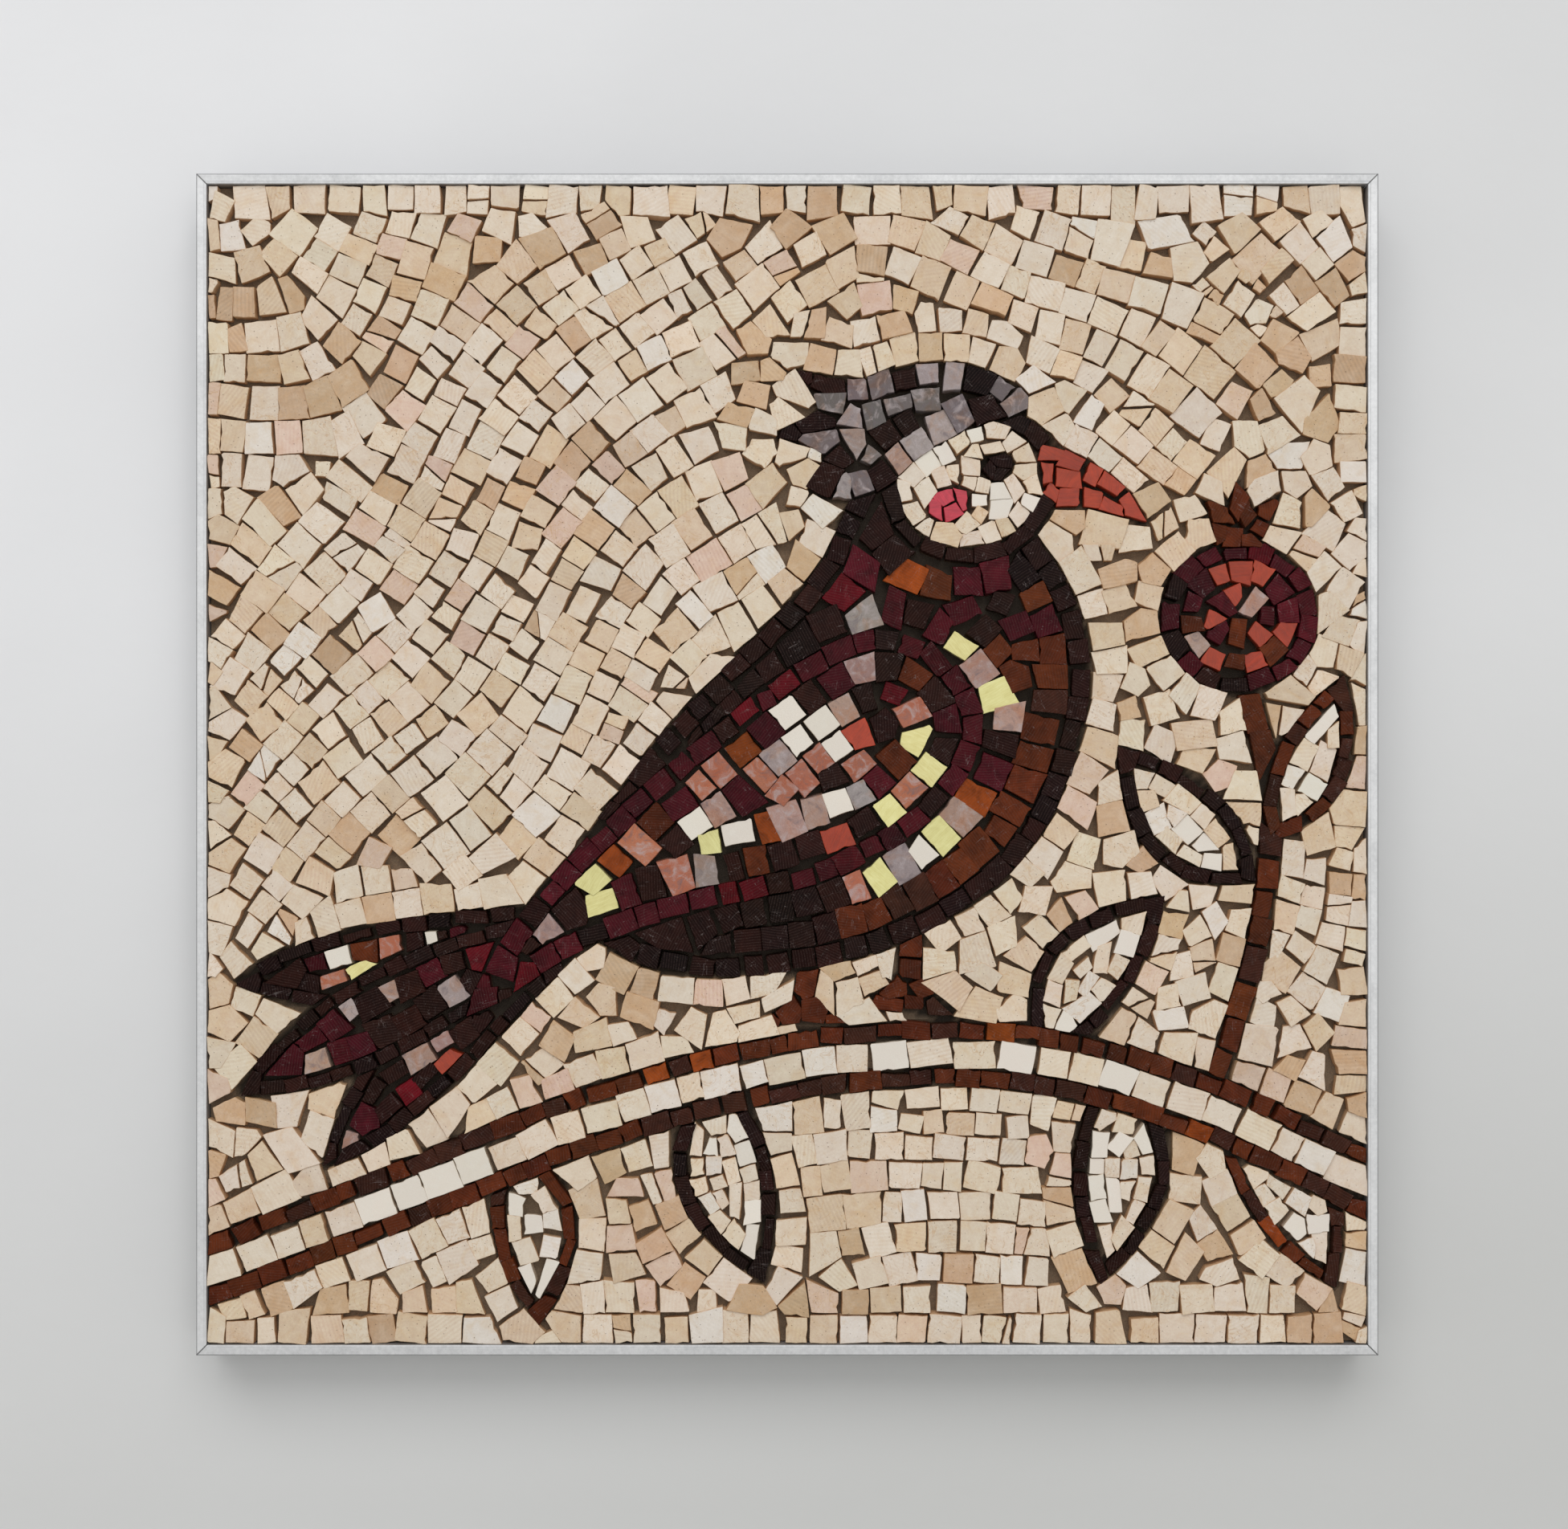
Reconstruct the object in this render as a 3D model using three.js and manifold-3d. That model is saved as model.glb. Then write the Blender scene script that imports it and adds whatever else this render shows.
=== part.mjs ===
// A framed mosaic wall panel: hand-cut stone tesserae set in a mortar bed on a square board,
// edged by four mitred lengths of aluminium bar. The picture is a bird on a branch.
//
// Units are millimetres. Everything is drawn as it is seen from the front: x to the right,
// y up and z out of the wall, with z = 0 on the wall. The outer group then stands the panel
// up, so that its picture faces -Y and +Z is up.

import * as THREE from 'three';
import { mergeVertices } from 'three/addons/utils/BufferGeometryUtils.js';
import Module from 'manifold-3d';

const wasm = await Module();
wasm.setup();

// ---------------------------------------------------------------- driving dimensions

const PANEL = 400; // outer side of the square frame
const RIM = 3.75; // thickness of the aluminium bar, seen from the front
const DEPTH = 25; // depth of the bar, wall to rim
const BOARD_FRONT = 12.5; // front of the backing board
const BED_FRONT = 18.75; // front of the mortar bed, seen in the joints
const STONE_FRONT = 24.25; // face of the stones, just inside the rim

const SLACK = 0.3; // glue line between the frame and what it holds
const JOINT = 0.7; // joint between two neighbouring areas of stone
const MITRE_GAP = 0.12; // half of the hairline at each frame corner
const OVERRUN = 5; // how far a cutting solid runs past what it cuts
const ARRIS = 0.5; // broken edge along the front of the bar

const FIELD = PANEL - 2 * RIM; // opening inside the frame
const HALF = FIELD / 2 - SLACK; // half the side of the board and the mosaic

const OUTLINE = 7.5; // width of the row of stones round the bird
const THIN_OUTLINE = 5; // width of the rows round leaves and feathers

// ---------------------------------------------------------------- colours of the finishes

const finish = (color, roughness, metalness = 0) =>
  new THREE.MeshStandardMaterial({ color, roughness, metalness });

const FINISH = {
  aluminium: finish('#c9cac9', 0.45, 0.9),
  board: finish('#b6a488', 0.9),
  mortar: finish('#5d5852', 0.95),
  cream: finish('#d9c6a8', 0.75),
  ivory: finish('#ebe3d3', 0.65),
  umber: finish('#2c201d', 0.55),
  chestnut: finish('#52260f', 0.5),
  maroon: finish('#46141a', 0.5),
  lilac: finish('#8b8389', 0.6),
  vermilion: finish('#b8452a', 0.5),
  rose: finish('#c23a48', 0.55),
};

// ---------------------------------------------------------------- solids

// A closed mesh with merged corners, as a solid that can be cut and joined.
function solidFrom(geometry) {
  const bare = geometry.index ? geometry.toNonIndexed() : geometry.clone();
  bare.deleteAttribute('normal');
  bare.deleteAttribute('uv');
  const merged = mergeVertices(bare, 1e-4);
  return new wasm.Manifold(new wasm.Mesh({
    numProp: 3,
    vertProperties: merged.attributes.position.array,
    triVerts: new Uint32Array(merged.index.array),
  }));
}

function geometryFrom(solid) {
  const mesh = solid.getMesh();
  const corners = new Float32Array(mesh.numVert * 3);
  for (let i = 0; i < mesh.numVert; i++) {
    const start = i * mesh.numProp;
    corners.set(mesh.vertProperties.subarray(start, start + 3), i * 3);
  }
  const geometry = new THREE.BufferGeometry();
  geometry.setAttribute('position', new THREE.BufferAttribute(corners, 3));
  geometry.setIndex(new THREE.BufferAttribute(new Uint32Array(mesh.triVerts), 1));
  return geometry;
}

// A flat-faced slab of the given outline between two heights above the wall.
function slab(outline, back, front) {
  const shape = new THREE.Shape(outline);
  const geometry = new THREE.ExtrudeGeometry(shape, {
    depth: front - back,
    bevelEnabled: false,
  });
  geometry.translate(0, 0, back);
  return solidFrom(geometry);
}

// ---------------------------------------------------------------- outlines

const LEAF_BLUNTNESS = 0.8; // under 1 a leaf's tip and base are blunter than a sine's
const SHARPEST_MITRE = 0.45; // cosine of the sharpest corner that an offset line still mitres
const FOLDED_BACK = 0.97; // share of its distance below which an offset point has folded back

const point = (x, y) => new THREE.Vector2(x, y);

const signedArea = (loop) => THREE.ShapeUtils.area(loop);

const counterClockwise = (loop) => (signedArea(loop) < 0 ? [...loop].reverse() : loop);

// A smooth closed line through a few points, cut into steps of about one stone.
function smoothLoop(points, step = 9) {
  const curve = new THREE.CatmullRomCurve3(
    points.map(([x, y]) => new THREE.Vector3(x, y, 0)), true, 'centripetal');
  const count = Math.max(8, Math.round(curve.getLength() / step));
  const loop = curve.getSpacedPoints(count).slice(0, count).map((p) => point(p.x, p.y));
  return counterClockwise(loop);
}

function smoothLine(points, step = 10) {
  const curve = new THREE.CatmullRomCurve3(
    points.map(([x, y]) => new THREE.Vector3(x, y, 0)), false, 'centripetal');
  const count = Math.max(2, Math.round(curve.getLength() / step));
  return curve.getSpacedPoints(count).map((p) => point(p.x, p.y));
}

function ellipseLoop([x, y], across, up, turn = 0, count = 24) {
  const curve = new THREE.EllipseCurve(x, y, across, up, 0, 2 * Math.PI, false, turn);
  return curve.getPoints(count).slice(0, count);
}

// A pointed leaf or feather from base to tip, bent sideways. Its widest place is nearer the
// base for a fullness under 1 and nearer the tip for one over 1.
function leafLoop(base, tip, width, bend = 0, count = 7, fullness = 0.85) {
  const along = point(tip[0] - base[0], tip[1] - base[1]);
  const across = point(-along.y, along.x).normalize();
  const edge = (side) => Array.from({ length: count - 1 }, (_, i) => {
    const t = (i + 1) / count;
    const half = 0.5 * width * Math.sin(Math.PI * t ** fullness) ** LEAF_BLUNTNESS;
    const sag = bend * Math.sin(Math.PI * t);
    return point(...base).addScaledVector(along, t).addScaledVector(across, sag + side * half);
  });
  return counterClockwise([
    point(...base), ...edge(-1), point(...tip), ...edge(1).reverse(),
  ]);
}

// A strip of even width along a line.
function stripLoop(line, width) {
  const side = (sign) => line.map((p, i) => {
    const before = line[Math.max(i - 1, 0)];
    const after = line[Math.min(i + 1, line.length - 1)];
    const across = point(before.y - after.y, after.x - before.x).normalize();
    return p.clone().addScaledVector(across, 0.5 * sign * width);
  });
  return counterClockwise([...side(-1), ...side(1).reverse()]);
}

function distanceToLoop(p, loop) {
  let nearest = Infinity;
  for (let i = 0; i < loop.length; i++) {
    const a = loop[i];
    const ab = loop[(i + 1) % loop.length].clone().sub(a);
    const t = THREE.MathUtils.clamp(p.clone().sub(a).dot(ab) / ab.lengthSq(), 0, 1);
    nearest = Math.min(nearest, p.distanceTo(a.clone().addScaledVector(ab, t)));
  }
  return nearest;
}

// The same outline moved outwards, or inwards for a negative distance.
// Corners are mitred, and points that fold back over the outline are left out.
function offsetLoop(loop, distance) {
  const moved = loop.map((p, i) => {
    const before = p.clone().sub(loop[(i + loop.length - 1) % loop.length]).normalize();
    const after = loop[(i + 1) % loop.length].clone().sub(p).normalize();
    const bisector = point(before.y + after.y, -before.x - after.x).normalize();
    const lean = Math.max(bisector.dot(point(before.y, -before.x)), SHARPEST_MITRE);
    return p.clone().addScaledVector(bisector, distance / lean);
  });
  return moved.filter((p) => distanceToLoop(p, loop) > FOLDED_BACK * Math.abs(distance));
}

const square = (half) => [
  point(-half, -half), point(half, -half), point(half, half), point(-half, half),
];

// ---------------------------------------------------------------- the picture

// Each area of the picture, from the top layer down. An area is cut back where one above it
// lies, so that every stone sits flat on the bed.
const areas = [];

function area(name, material, outline) {
  areas.push({ name, material, outline });
}

// An area with a row of stones of another colour round it.
function outlined(name, { rowMaterial, fillMaterial, outline, row }) {
  area(`${name}_fill`, fillMaterial, offsetLoop(outline, -row));
  area(`${name}_outline`, rowMaterial, outline);
}

area('eye', 'umber', ellipseLoop([71, 101], 5.5, 5, 0, 10));
area('cheek', 'rose', ellipseLoop([55, 88], 8, 6, 0.5, 8));
area('beak', 'vermilion', smoothLoop(
  [[86, 108], [101, 103], [114, 94], [122, 82], [108, 86], [96, 88], [88, 89]], 8));
area('crown', 'lilac', smoothLoop([
  [84, 121], [67, 134], [44, 136], [22, 130], [2, 134], [12, 120], [-6, 112], [14, 105],
  [6, 92], [30, 92], [44, 104], [62, 114]], 8));
outlined('face', {
  rowMaterial: 'umber', fillMaterial: 'ivory',
  outline: ellipseLoop([62, 95], 31, 27, 0.25, 22), row: 6,
});
outlined('wing', {
  rowMaterial: 'umber', fillMaterial: 'maroon', row: OUTLINE,
  outline: smoothLoop([
    [50, 40], [67, 14], [50, -18], [14, -39], [-32, -50], [-72, -64], [-108, -86],
    [-92, -53], [-62, -20], [-28, 10], [8, 37], [30, 46]]),
});
outlined('body', {
  rowMaterial: 'umber', fillMaterial: 'chestnut', row: OUTLINE,
  outline: smoothLoop([
    [82, 80], [101, 46], [99, 6], [78, -34], [40, -60], [-8, -71], [-50, -68],
    [-76, -46], [-52, -2], [-20, 34], [10, 66], [26, 96], [50, 106]]),
});
area('leg_front', 'chestnut', counterClockwise([
  point(39, -56), point(46, -52), point(45, -74), point(60, -86), point(42, -84), point(24, -82),
  point(37, -74)]));
area('leg_back', 'chestnut', counterClockwise([
  point(4, -66), point(11, -66), point(9, -80), point(20, -88), point(6, -87), point(-12, -90),
  point(2, -80)]));
const FEATHERS = [
  { tip: [-187, -112], width: 30, bend: -2 },
  { tip: [-188, -74], width: 29, bend: 7 },
  { tip: [-158, -138], width: 28, bend: -8 },
];
FEATHERS.forEach(({ tip, width, bend }, i) => outlined(`feather_${i + 1}`, {
  rowMaterial: 'umber', fillMaterial: i === 0 ? 'lilac' : 'maroon', row: THIN_OUTLINE,
  outline: leafLoop([-44, -40], tip, width, bend, 14, 1.5),
}));
const BRANCH = smoothLine([
  [-230, -186], [-196, -172], [-130, -146], [-60, -118], [10, -101], [76, -99],
  [136, -114], [196, -142], [230, -160]], 16);
area('branch_fill', 'ivory', stripLoop(BRANCH, 9));
area('branch_outline', 'umber', stripLoop(BRANCH, 22));

area('fruit_crown', 'chestnut', counterClockwise([
  point(146, 74), point(140, 92), point(149, 86), point(153, 97), point(158, 86),
  point(167, 91), point(160, 74),
]));
outlined('fruit', {
  rowMaterial: 'maroon', fillMaterial: 'vermilion', row: 6.5,
  outline: ellipseLoop([153, 50], 27, 26, 0, 20),
});
const LEAVES = [
  { base: [158, -40], tip: [112, 6], width: 30, bend: 3 },
  { base: [164, -26], tip: [189, 30], width: 25, bend: -2 },
  { base: [112, -104], tip: [106, -176], width: 33, bend: 4 },
  { base: [150, -120], tip: [186, -178], width: 31, bend: 4 },
  { base: [-26, -106], tip: [-8, -176], width: 33, bend: -4 },
  { base: [-92, -130], tip: [-84, -190], width: 29, bend: 3 },
  { base: [84, -98], tip: [128, -44], width: 31, bend: 4 },
];
LEAVES.forEach(({ base, tip, width, bend }, i) => outlined(`leaf_${i + 1}`, {
  rowMaterial: i % 2 ? 'chestnut' : 'umber', fillMaterial: 'ivory', row: THIN_OUTLINE,
  outline: leafLoop(base, tip, width, bend),
}));
area('stem', 'chestnut', stripLoop(smoothLine([[146, -106], [160, -56], [164, -8], [156, 24]]), 7));

// Cuts the areas out of the mosaic, from the top layer down, and the ground out of the rest.
function laySolids() {
  const field = slab(square(HALF), BED_FRONT, STONE_FRONT);
  const laid = [];
  let taken = null;
  for (const { name, material, outline } of areas) {
    const whole = slab(outline, BED_FRONT, STONE_FRONT).intersect(field);
    const grown = slab(offsetLoop(outline, JOINT), BED_FRONT - OVERRUN, STONE_FRONT + OVERRUN);
    laid.push({ name, material, solid: taken ? whole.subtract(taken) : whole });
    taken = taken ? taken.add(grown) : grown;
  }
  laid.push({ name: 'ground', material: 'cream', solid: field.subtract(taken) });
  return laid;
}

// An area that others cross comes apart into pieces: each is its own solid, largest first.
// A sliver under 60 mm2 is left out: its neighbours' stones fill the place.
const SMALLEST_PIECE = 60 * (STONE_FRONT - BED_FRONT);

function pieces({ name, material, solid }) {
  const parts = solid.decompose()
    .filter((part) => part.volume() > SMALLEST_PIECE)
    .sort((a, b) => b.volume() - a.volume());
  return parts.map((part, i) => ({
    name: parts.length > 1 ? `${name}_${i + 1}` : name, material, solid: part,
  }));
}

// ---------------------------------------------------------------- the frame and its backing

// One length of bar, lying along x below the field, with both ends cut to a mitre.
function railSolid() {
  const inner = -FIELD / 2;
  const outer = -PANEL / 2;
  const section = new THREE.Shape([
    point(0, outer), point(0, inner),
    point(DEPTH - ARRIS, inner), point(DEPTH, inner - ARRIS),
    point(DEPTH, outer + ARRIS), point(DEPTH - ARRIS, outer),
  ]);
  const bar = new THREE.ExtrudeGeometry(section, { depth: PANEL, bevelEnabled: false });
  // The section's x becomes depth and its y stays across the bar.
  bar.rotateY(-Math.PI / 2);
  bar.translate(PANEL / 2, 0, 0);
  const reach = PANEL / 2 + OVERRUN;
  const wedge = slab([point(0, 0), point(-reach, -reach), point(reach, -reach)], -OVERRUN, DEPTH + OVERRUN);
  return solidFrom(bar).intersect(wedge.translate([0, -MITRE_GAP * Math.SQRT2, 0]));
}

function mesh(name, material, solid) {
  const made = new THREE.Mesh(geometryFrom(solid), FINISH[material]);
  made.name = name;
  return made;
}

function frame() {
  const group = new THREE.Group();
  ['bottom', 'right', 'top', 'left'].forEach((side, quarter) => {
    const rail = mesh(`frame_rail_${side}`, 'aluminium', railSolid());
    rail.rotation.z = quarter * Math.PI / 2;
    group.add(rail);
  });
  return group;
}

// ---------------------------------------------------------------- the whole panel

const panel = new THREE.Group();
panel.add(frame());
panel.add(mesh('backing_board', 'board', slab(square(HALF), 0, BOARD_FRONT)));
panel.add(mesh('mortar_bed', 'mortar', slab(square(HALF), BOARD_FRONT, BED_FRONT)));
for (const laid of laySolids()) {
  for (const { name, material, solid } of pieces(laid)) panel.add(mesh(name, material, solid));
}
panel.rotation.x = Math.PI / 2;

export default panel;
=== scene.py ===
"""The looks of a framed mosaic wall panel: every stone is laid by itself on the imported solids.

The picture is laid out as it is seen from the front: x to the right, y up, in millimetres, and
heights above the wall. place() turns such a point into the frame's metres.
"""

import math
import re
from collections import defaultdict

import bpy
import numpy as np
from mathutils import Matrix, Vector, noise


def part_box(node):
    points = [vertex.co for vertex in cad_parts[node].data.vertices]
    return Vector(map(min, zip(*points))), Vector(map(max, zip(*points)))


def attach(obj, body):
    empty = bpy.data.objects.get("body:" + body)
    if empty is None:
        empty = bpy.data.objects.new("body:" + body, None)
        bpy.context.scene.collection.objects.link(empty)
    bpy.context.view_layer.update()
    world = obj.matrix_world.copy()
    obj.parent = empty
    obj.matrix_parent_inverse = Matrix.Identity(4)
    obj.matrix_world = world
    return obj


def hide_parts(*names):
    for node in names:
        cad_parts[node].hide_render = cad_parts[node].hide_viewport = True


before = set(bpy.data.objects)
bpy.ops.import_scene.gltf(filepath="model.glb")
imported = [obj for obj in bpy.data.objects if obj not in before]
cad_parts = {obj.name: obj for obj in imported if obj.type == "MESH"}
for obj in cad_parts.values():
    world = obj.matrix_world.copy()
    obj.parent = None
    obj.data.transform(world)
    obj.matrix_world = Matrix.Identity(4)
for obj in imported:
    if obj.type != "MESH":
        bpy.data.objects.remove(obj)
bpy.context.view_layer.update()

MM = 0.001
SAME = 0.02  # two heights this close, in millimetres, are one and the same
rng = np.random.default_rng(46)

# ------------------------------------------------------------------ sizes read from the solids


def front_of(node):
    """The height above the wall, in millimetres, of a node's front."""
    return -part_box(node)[0].y / MM


BOARD = front_of("backing_board")
BED = front_of("mortar_bed")
FACE = front_of("ground_1")
RIM = front_of("frame_rail_top")
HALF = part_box("mortar_bed")[1].x / MM  # half the side of the mosaic
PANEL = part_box("frame_rail_bottom")[1].x / MM  # half the side of the frame
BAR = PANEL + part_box("frame_rail_bottom")[1].z / MM  # thickness of the frame's bar

# ------------------------------------------------------------------ sizes of the stonework

PITCH = 10.1  # width of a row of ground stones, joint included
GROUND_STONE = (6.6, 13.2)  # the shortest and the longest stone in a row of the ground
CHEQUER = 9.6  # side of the squares in the wing and the body
ROW_WIDTH = {"wing": 7.5, "body": 7.5, "face": 6.0, "fruit": 6.5}  # rows of outline stones
THIN_ROW = 5.0  # those of leaves and feathers
OUTLINE_GAP = 0.35  # between an area's fill and the row round it
ROW_SPREAD = (0.92, 1.08)  # least and greatest width of a stone as a share of its row's width

REACH = 1.34  # how far a ground stone may stretch past its own size to meet its neighbours
FIGURE_REACH = 1.6  # how far the stones of the figure may
OWN_SHARE = 0.42  # the least share of a stone that has to lie in its own area
FREE_SHARE = 0.5  # the least share of that which no other stone has taken
SMALLEST = 5.0  # a share of the bed under this many square millimetres gets no stone
CRUMB = 2.2  # nor does a stone stay that comes out smaller than this when it is cut
PLUGS = ((4.6, 0.85), (3.7, 0.8), (2.9, 0.78), (2.1, 0.7))  # half sides, and least bare shares

JOINT = 0.16  # how far a stone stays back from its share of the bed, each side, at the least
JOINT_SPREAD = 0.25  # how much more it stays back on average
WIDE_JOINT = 0.5  # how much more still, on average, on some of its sides
WIDE_SIDES = 0.2  # the share of sides that do
WIDEST_JOINT = 1.5  # the most that any side stays back
DARK_JOINT = 1.3  # how many times wider the gaps of the dark stones are
FRAME_JOINT = 0.25  # the share of its gap that a side along the frame keeps
SKEW = 0.055  # how far a stone is turned out of true, in radians
HALVED = 0.05  # share of the ground's stones that are cut in two
STONE_FOOT = 0.9  # how far a stone's foot lies below the front of the solid bed


def place(x, y, height):
    """A point of the picture, in the frame's metres."""
    return (x * MM, -height * MM, y * MM)


# ------------------------------------------------------------------ the areas of the picture


def outlines(node):
    """The closed outlines of an area where it stands on the bed."""
    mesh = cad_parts[node].data
    corners = np.empty(len(mesh.vertices) * 3)
    mesh.vertices.foreach_get("co", corners)
    corners = corners.reshape(-1, 3) / MM
    follows = {}
    for face in mesh.polygons:
        points = [corners[v] for v in face.vertices]
        if any(abs(-p[1] - BED) > SAME for p in points):
            continue
        ring = [(round(p[0], 3), round(p[2], 3)) for p in points]
        for edge in zip(ring, ring[1:] + ring[:1]):
            if edge[::-1] in follows:
                del follows[edge[::-1]]
            else:
                follows[edge] = True
    after = dict(follows.keys())
    loops = []
    while after:
        start, here = after.popitem()
        loop = [start]
        while here != start and here in after:
            loop.append(here)
            here = after.pop(here)
        loops.append(np.array(loop + [start]))
    return loops


# The stonework's nodes: they stand on the bed and reach up to the stones' faces.
NODES = sorted(
    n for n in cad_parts
    if abs(front_of(n) - FACE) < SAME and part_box(n)[1].y / MM < -BED + SAME
)
OUTLINES = {n: outlines(n) for n in NODES}


def area_of(node):
    """The area a node is of. One that others part has numbered nodes, such as body_outline_2."""
    return re.sub(r"_\d+$", "", node)


AREAS = sorted({area_of(n) for n in NODES})
LOOPS = {a: [loop for n in NODES if area_of(n) == a for loop in OUTLINES[n]] for a in AREAS}
PALE_AREAS = {"ground", "branch_fill", "face_fill"}
PALE_AREAS |= {a for a in AREAS if re.match(r"leaf_\d_fill", a)}

# ------------------------------------------------------------------ the fine raster of the bed

CELL = 0.35  # side of a cell
CELLS = round(2 * HALF / CELL)
JOINT_CELLS = 6  # more cells than half of any joint between two areas takes
CENTRES = -HALF + (np.arange(CELLS) + 0.5) * CELL


def inside(loops):
    """Which cells of the raster lie inside some closed lines."""
    crossings = np.zeros((CELLS, CELLS + 1), np.int32)
    for loop in loops:
        for (x0, y0), (x1, y1) in zip(loop, loop[1:]):
            rows = np.nonzero((CENTRES >= min(y0, y1)) & (CENTRES < max(y0, y1)))[0]
            if len(rows):
                x = x0 + (CENTRES[rows] - y0) * (x1 - x0) / (y1 - y0)
                columns = np.ceil((x + HALF) / CELL - 0.5).astype(int)
                np.add.at(crossings, (rows, np.clip(columns, 0, CELLS)), 1)
    return np.cumsum(crossings, axis=1)[:, :CELLS] % 2 == 1


def share_out():
    """The number of the area that each cell belongs to. The joints between areas are halved."""
    zone = np.full((CELLS, CELLS), -1)
    for number, area in enumerate(AREAS):
        zone[inside(LOOPS[area])] = number
    for _ in range(JOINT_CELLS):
        for shift in ((0, 1), (1, 0), (0, -1), (-1, 0)):
            bare = zone < 0
            zone[bare] = np.roll(zone, shift, (0, 1))[bare]
    return zone


ZONE = share_out()
taken = np.zeros(ZONE.shape, bool)


def window(x, y, reach):
    """The part of the raster round a point, with the cells' places as seen from it."""
    spans = []
    for middle in (y, x):
        low, high = (middle - reach + HALF) / CELL, (middle + reach + HALF) / CELL + 1
        spans.append(slice(*np.clip([int(low), int(high)], 0, CELLS)))
    return tuple(spans), CENTRES[spans[1]][None, :] - x, CENTRES[spans[0]][:, None] - y


# ------------------------------------------------------------------ rows along even distances

COARSE = 1.5  # step of the coarse grid
MARGIN = 7  # how far it reaches past the bed
GRID = np.arange(-HALF - MARGIN, HALF + MARGIN + 1, COARSE)
GX, GY = np.meshgrid(GRID, GRID)
FAR = 1e9


def distance(lines, x=GX, y=GY):
    """How far each point of the coarse grid is from the nearest of some lines."""
    nearest = np.full(x.shape, FAR)
    for line in lines:
        for (x0, y0), (x1, y1) in zip(line, line[1:]):
            dx, dy = x1 - x0, y1 - y0
            along = np.clip(((x - x0) * dx + (y - y0) * dy) / max(dx * dx + dy * dy, 1e-9), 0, 1)
            gap = np.hypot(x - x0 - along * dx, y - y0 - along * dy)
            nearest = np.minimum(nearest, gap)
    return nearest


def contours(field, level):
    """The lines on which a field over the coarse grid has one value."""
    above = field > level
    mixed = (above[:-1, :-1] != above[1:, 1:]) | (above[1:, :-1] != above[:-1, 1:])
    mixed |= above[:-1, :-1] != above[:-1, 1:]
    links = defaultdict(list)
    for row, column in np.argwhere(mixed).tolist():
        ring = [(row, column), (row, column + 1), (row + 1, column + 1), (row + 1, column)]
        sides = zip(ring, ring[1:] + ring[:1])
        cuts = [tuple(sorted(side)) for side in sides if above[side[0]] != above[side[1]]]
        for one, other in zip(cuts[::2], cuts[1::2]):
            links[one].append(other)
            links[other].append(one)

    def point(side):
        one, other = side
        part = (level - field[one]) / (field[other] - field[one])
        return (GRID[one[1]] + part * (GRID[other[1]] - GRID[one[1]]),
                GRID[one[0]] + part * (GRID[other[0]] - GRID[one[0]]))

    lines = []
    unused = set(links)
    ends = [side for side in links if len(links[side]) == 1]
    for start in ends + list(links):
        if start not in unused:
            continue
        chain, here = [start], start
        unused.discard(start)
        while True:
            onward = [side for side in links[here] if side in unused]
            if not onward:
                break
            here = onward[0]
            unused.discard(here)
            chain.append(here)
        if here in links[start] and len(chain) > 3:
            chain.append(start)
        if len(chain) > 2:
            lines.append(np.array([point(side) for side in chain]))
    return lines


def steps_along(line, shortest, longest):
    """Stones laid end to end on a line: their middles, directions and half lengths."""
    pieces = np.hypot(*np.diff(line, axis=0).T)
    run = np.concatenate([[0], np.cumsum(pieces)])
    cuts = [0.0]
    while cuts[-1] < run[-1]:
        cuts.append(cuts[-1] + rng.triangular(shortest, 0.5 * (shortest + longest), longest))
    cuts = np.array(cuts) * (run[-1] / cuts[-1] if len(cuts) > 2 else 1.0)
    x, y = np.interp(cuts, run, line[:, 0]), np.interp(cuts, run, line[:, 1])
    middle = 0.5 * (cuts[1:] + cuts[:-1])
    mx, my = np.interp(middle, run, line[:, 0]), np.interp(middle, run, line[:, 1])
    angle = np.arctan2(np.diff(y), np.diff(x))
    return zip(mx, my, angle, 0.5 * np.diff(cuts))


# ------------------------------------------------------------------ stones


class Stone:
    """One stone's place in the picture, and how it is cut and coloured."""

    def __init__(self, x, y, angle, length, width, zone, mix):
        self.x, self.y, self.angle = x, y, angle
        self.a, self.b = max(length, 1.0), max(width, 1.0)  # half length and half width
        self.zone, self.mix = zone, mix
        self.corners = None

    def view(self, reach=1.5):
        """The raster round it: where that is, places along and across it, and how far out.

        How far out a cell is counts in the stone's own sizes, with 1 at its sides.
        """
        where, dx, dy = window(self.x, self.y, reach * math.hypot(self.a, self.b))
        along, across = math.cos(self.angle), math.sin(self.angle)
        u, v = dx * along + dy * across, dy * along - dx * across
        return where, u, v, np.maximum(abs(u) / self.a, abs(v) / self.b)


stones = []


def set_stone(stone):
    """Keeps a stone if enough of it lies in its area and on free bed."""
    where, _, _, size = stone.view()
    body = size < 1
    own = body & (ZONE[where] == stone.zone)
    if own.sum() < OWN_SHARE * max(body.sum(), 1) or own.sum() * CELL**2 < SMALLEST:
        return
    if (own & ~taken[where]).sum() >= FREE_SHARE * own.sum():
        taken[where] |= own
        stones.append(stone)


def lay_rows(area, field, levels, lengths, mix, wander=0.05, wanted=None):
    """Lays stones on the lines where a field has the given values: (value, row width).

    Each is turned a little out of line, by wander in radians. wanted(x, y) may leave one out.
    """
    zone = AREAS.index(area)
    for level, width in levels:
        for line in contours(field, level):
            for x, y, angle, half in steps_along(line, *lengths):
                if wanted is None or wanted(x, y):
                    angle += rng.normal(0, wander)
                    across = 0.5 * width * rng.uniform(*ROW_SPREAD)
                    set_stone(Stone(x, y, angle, half, across, zone, mix))


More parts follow.
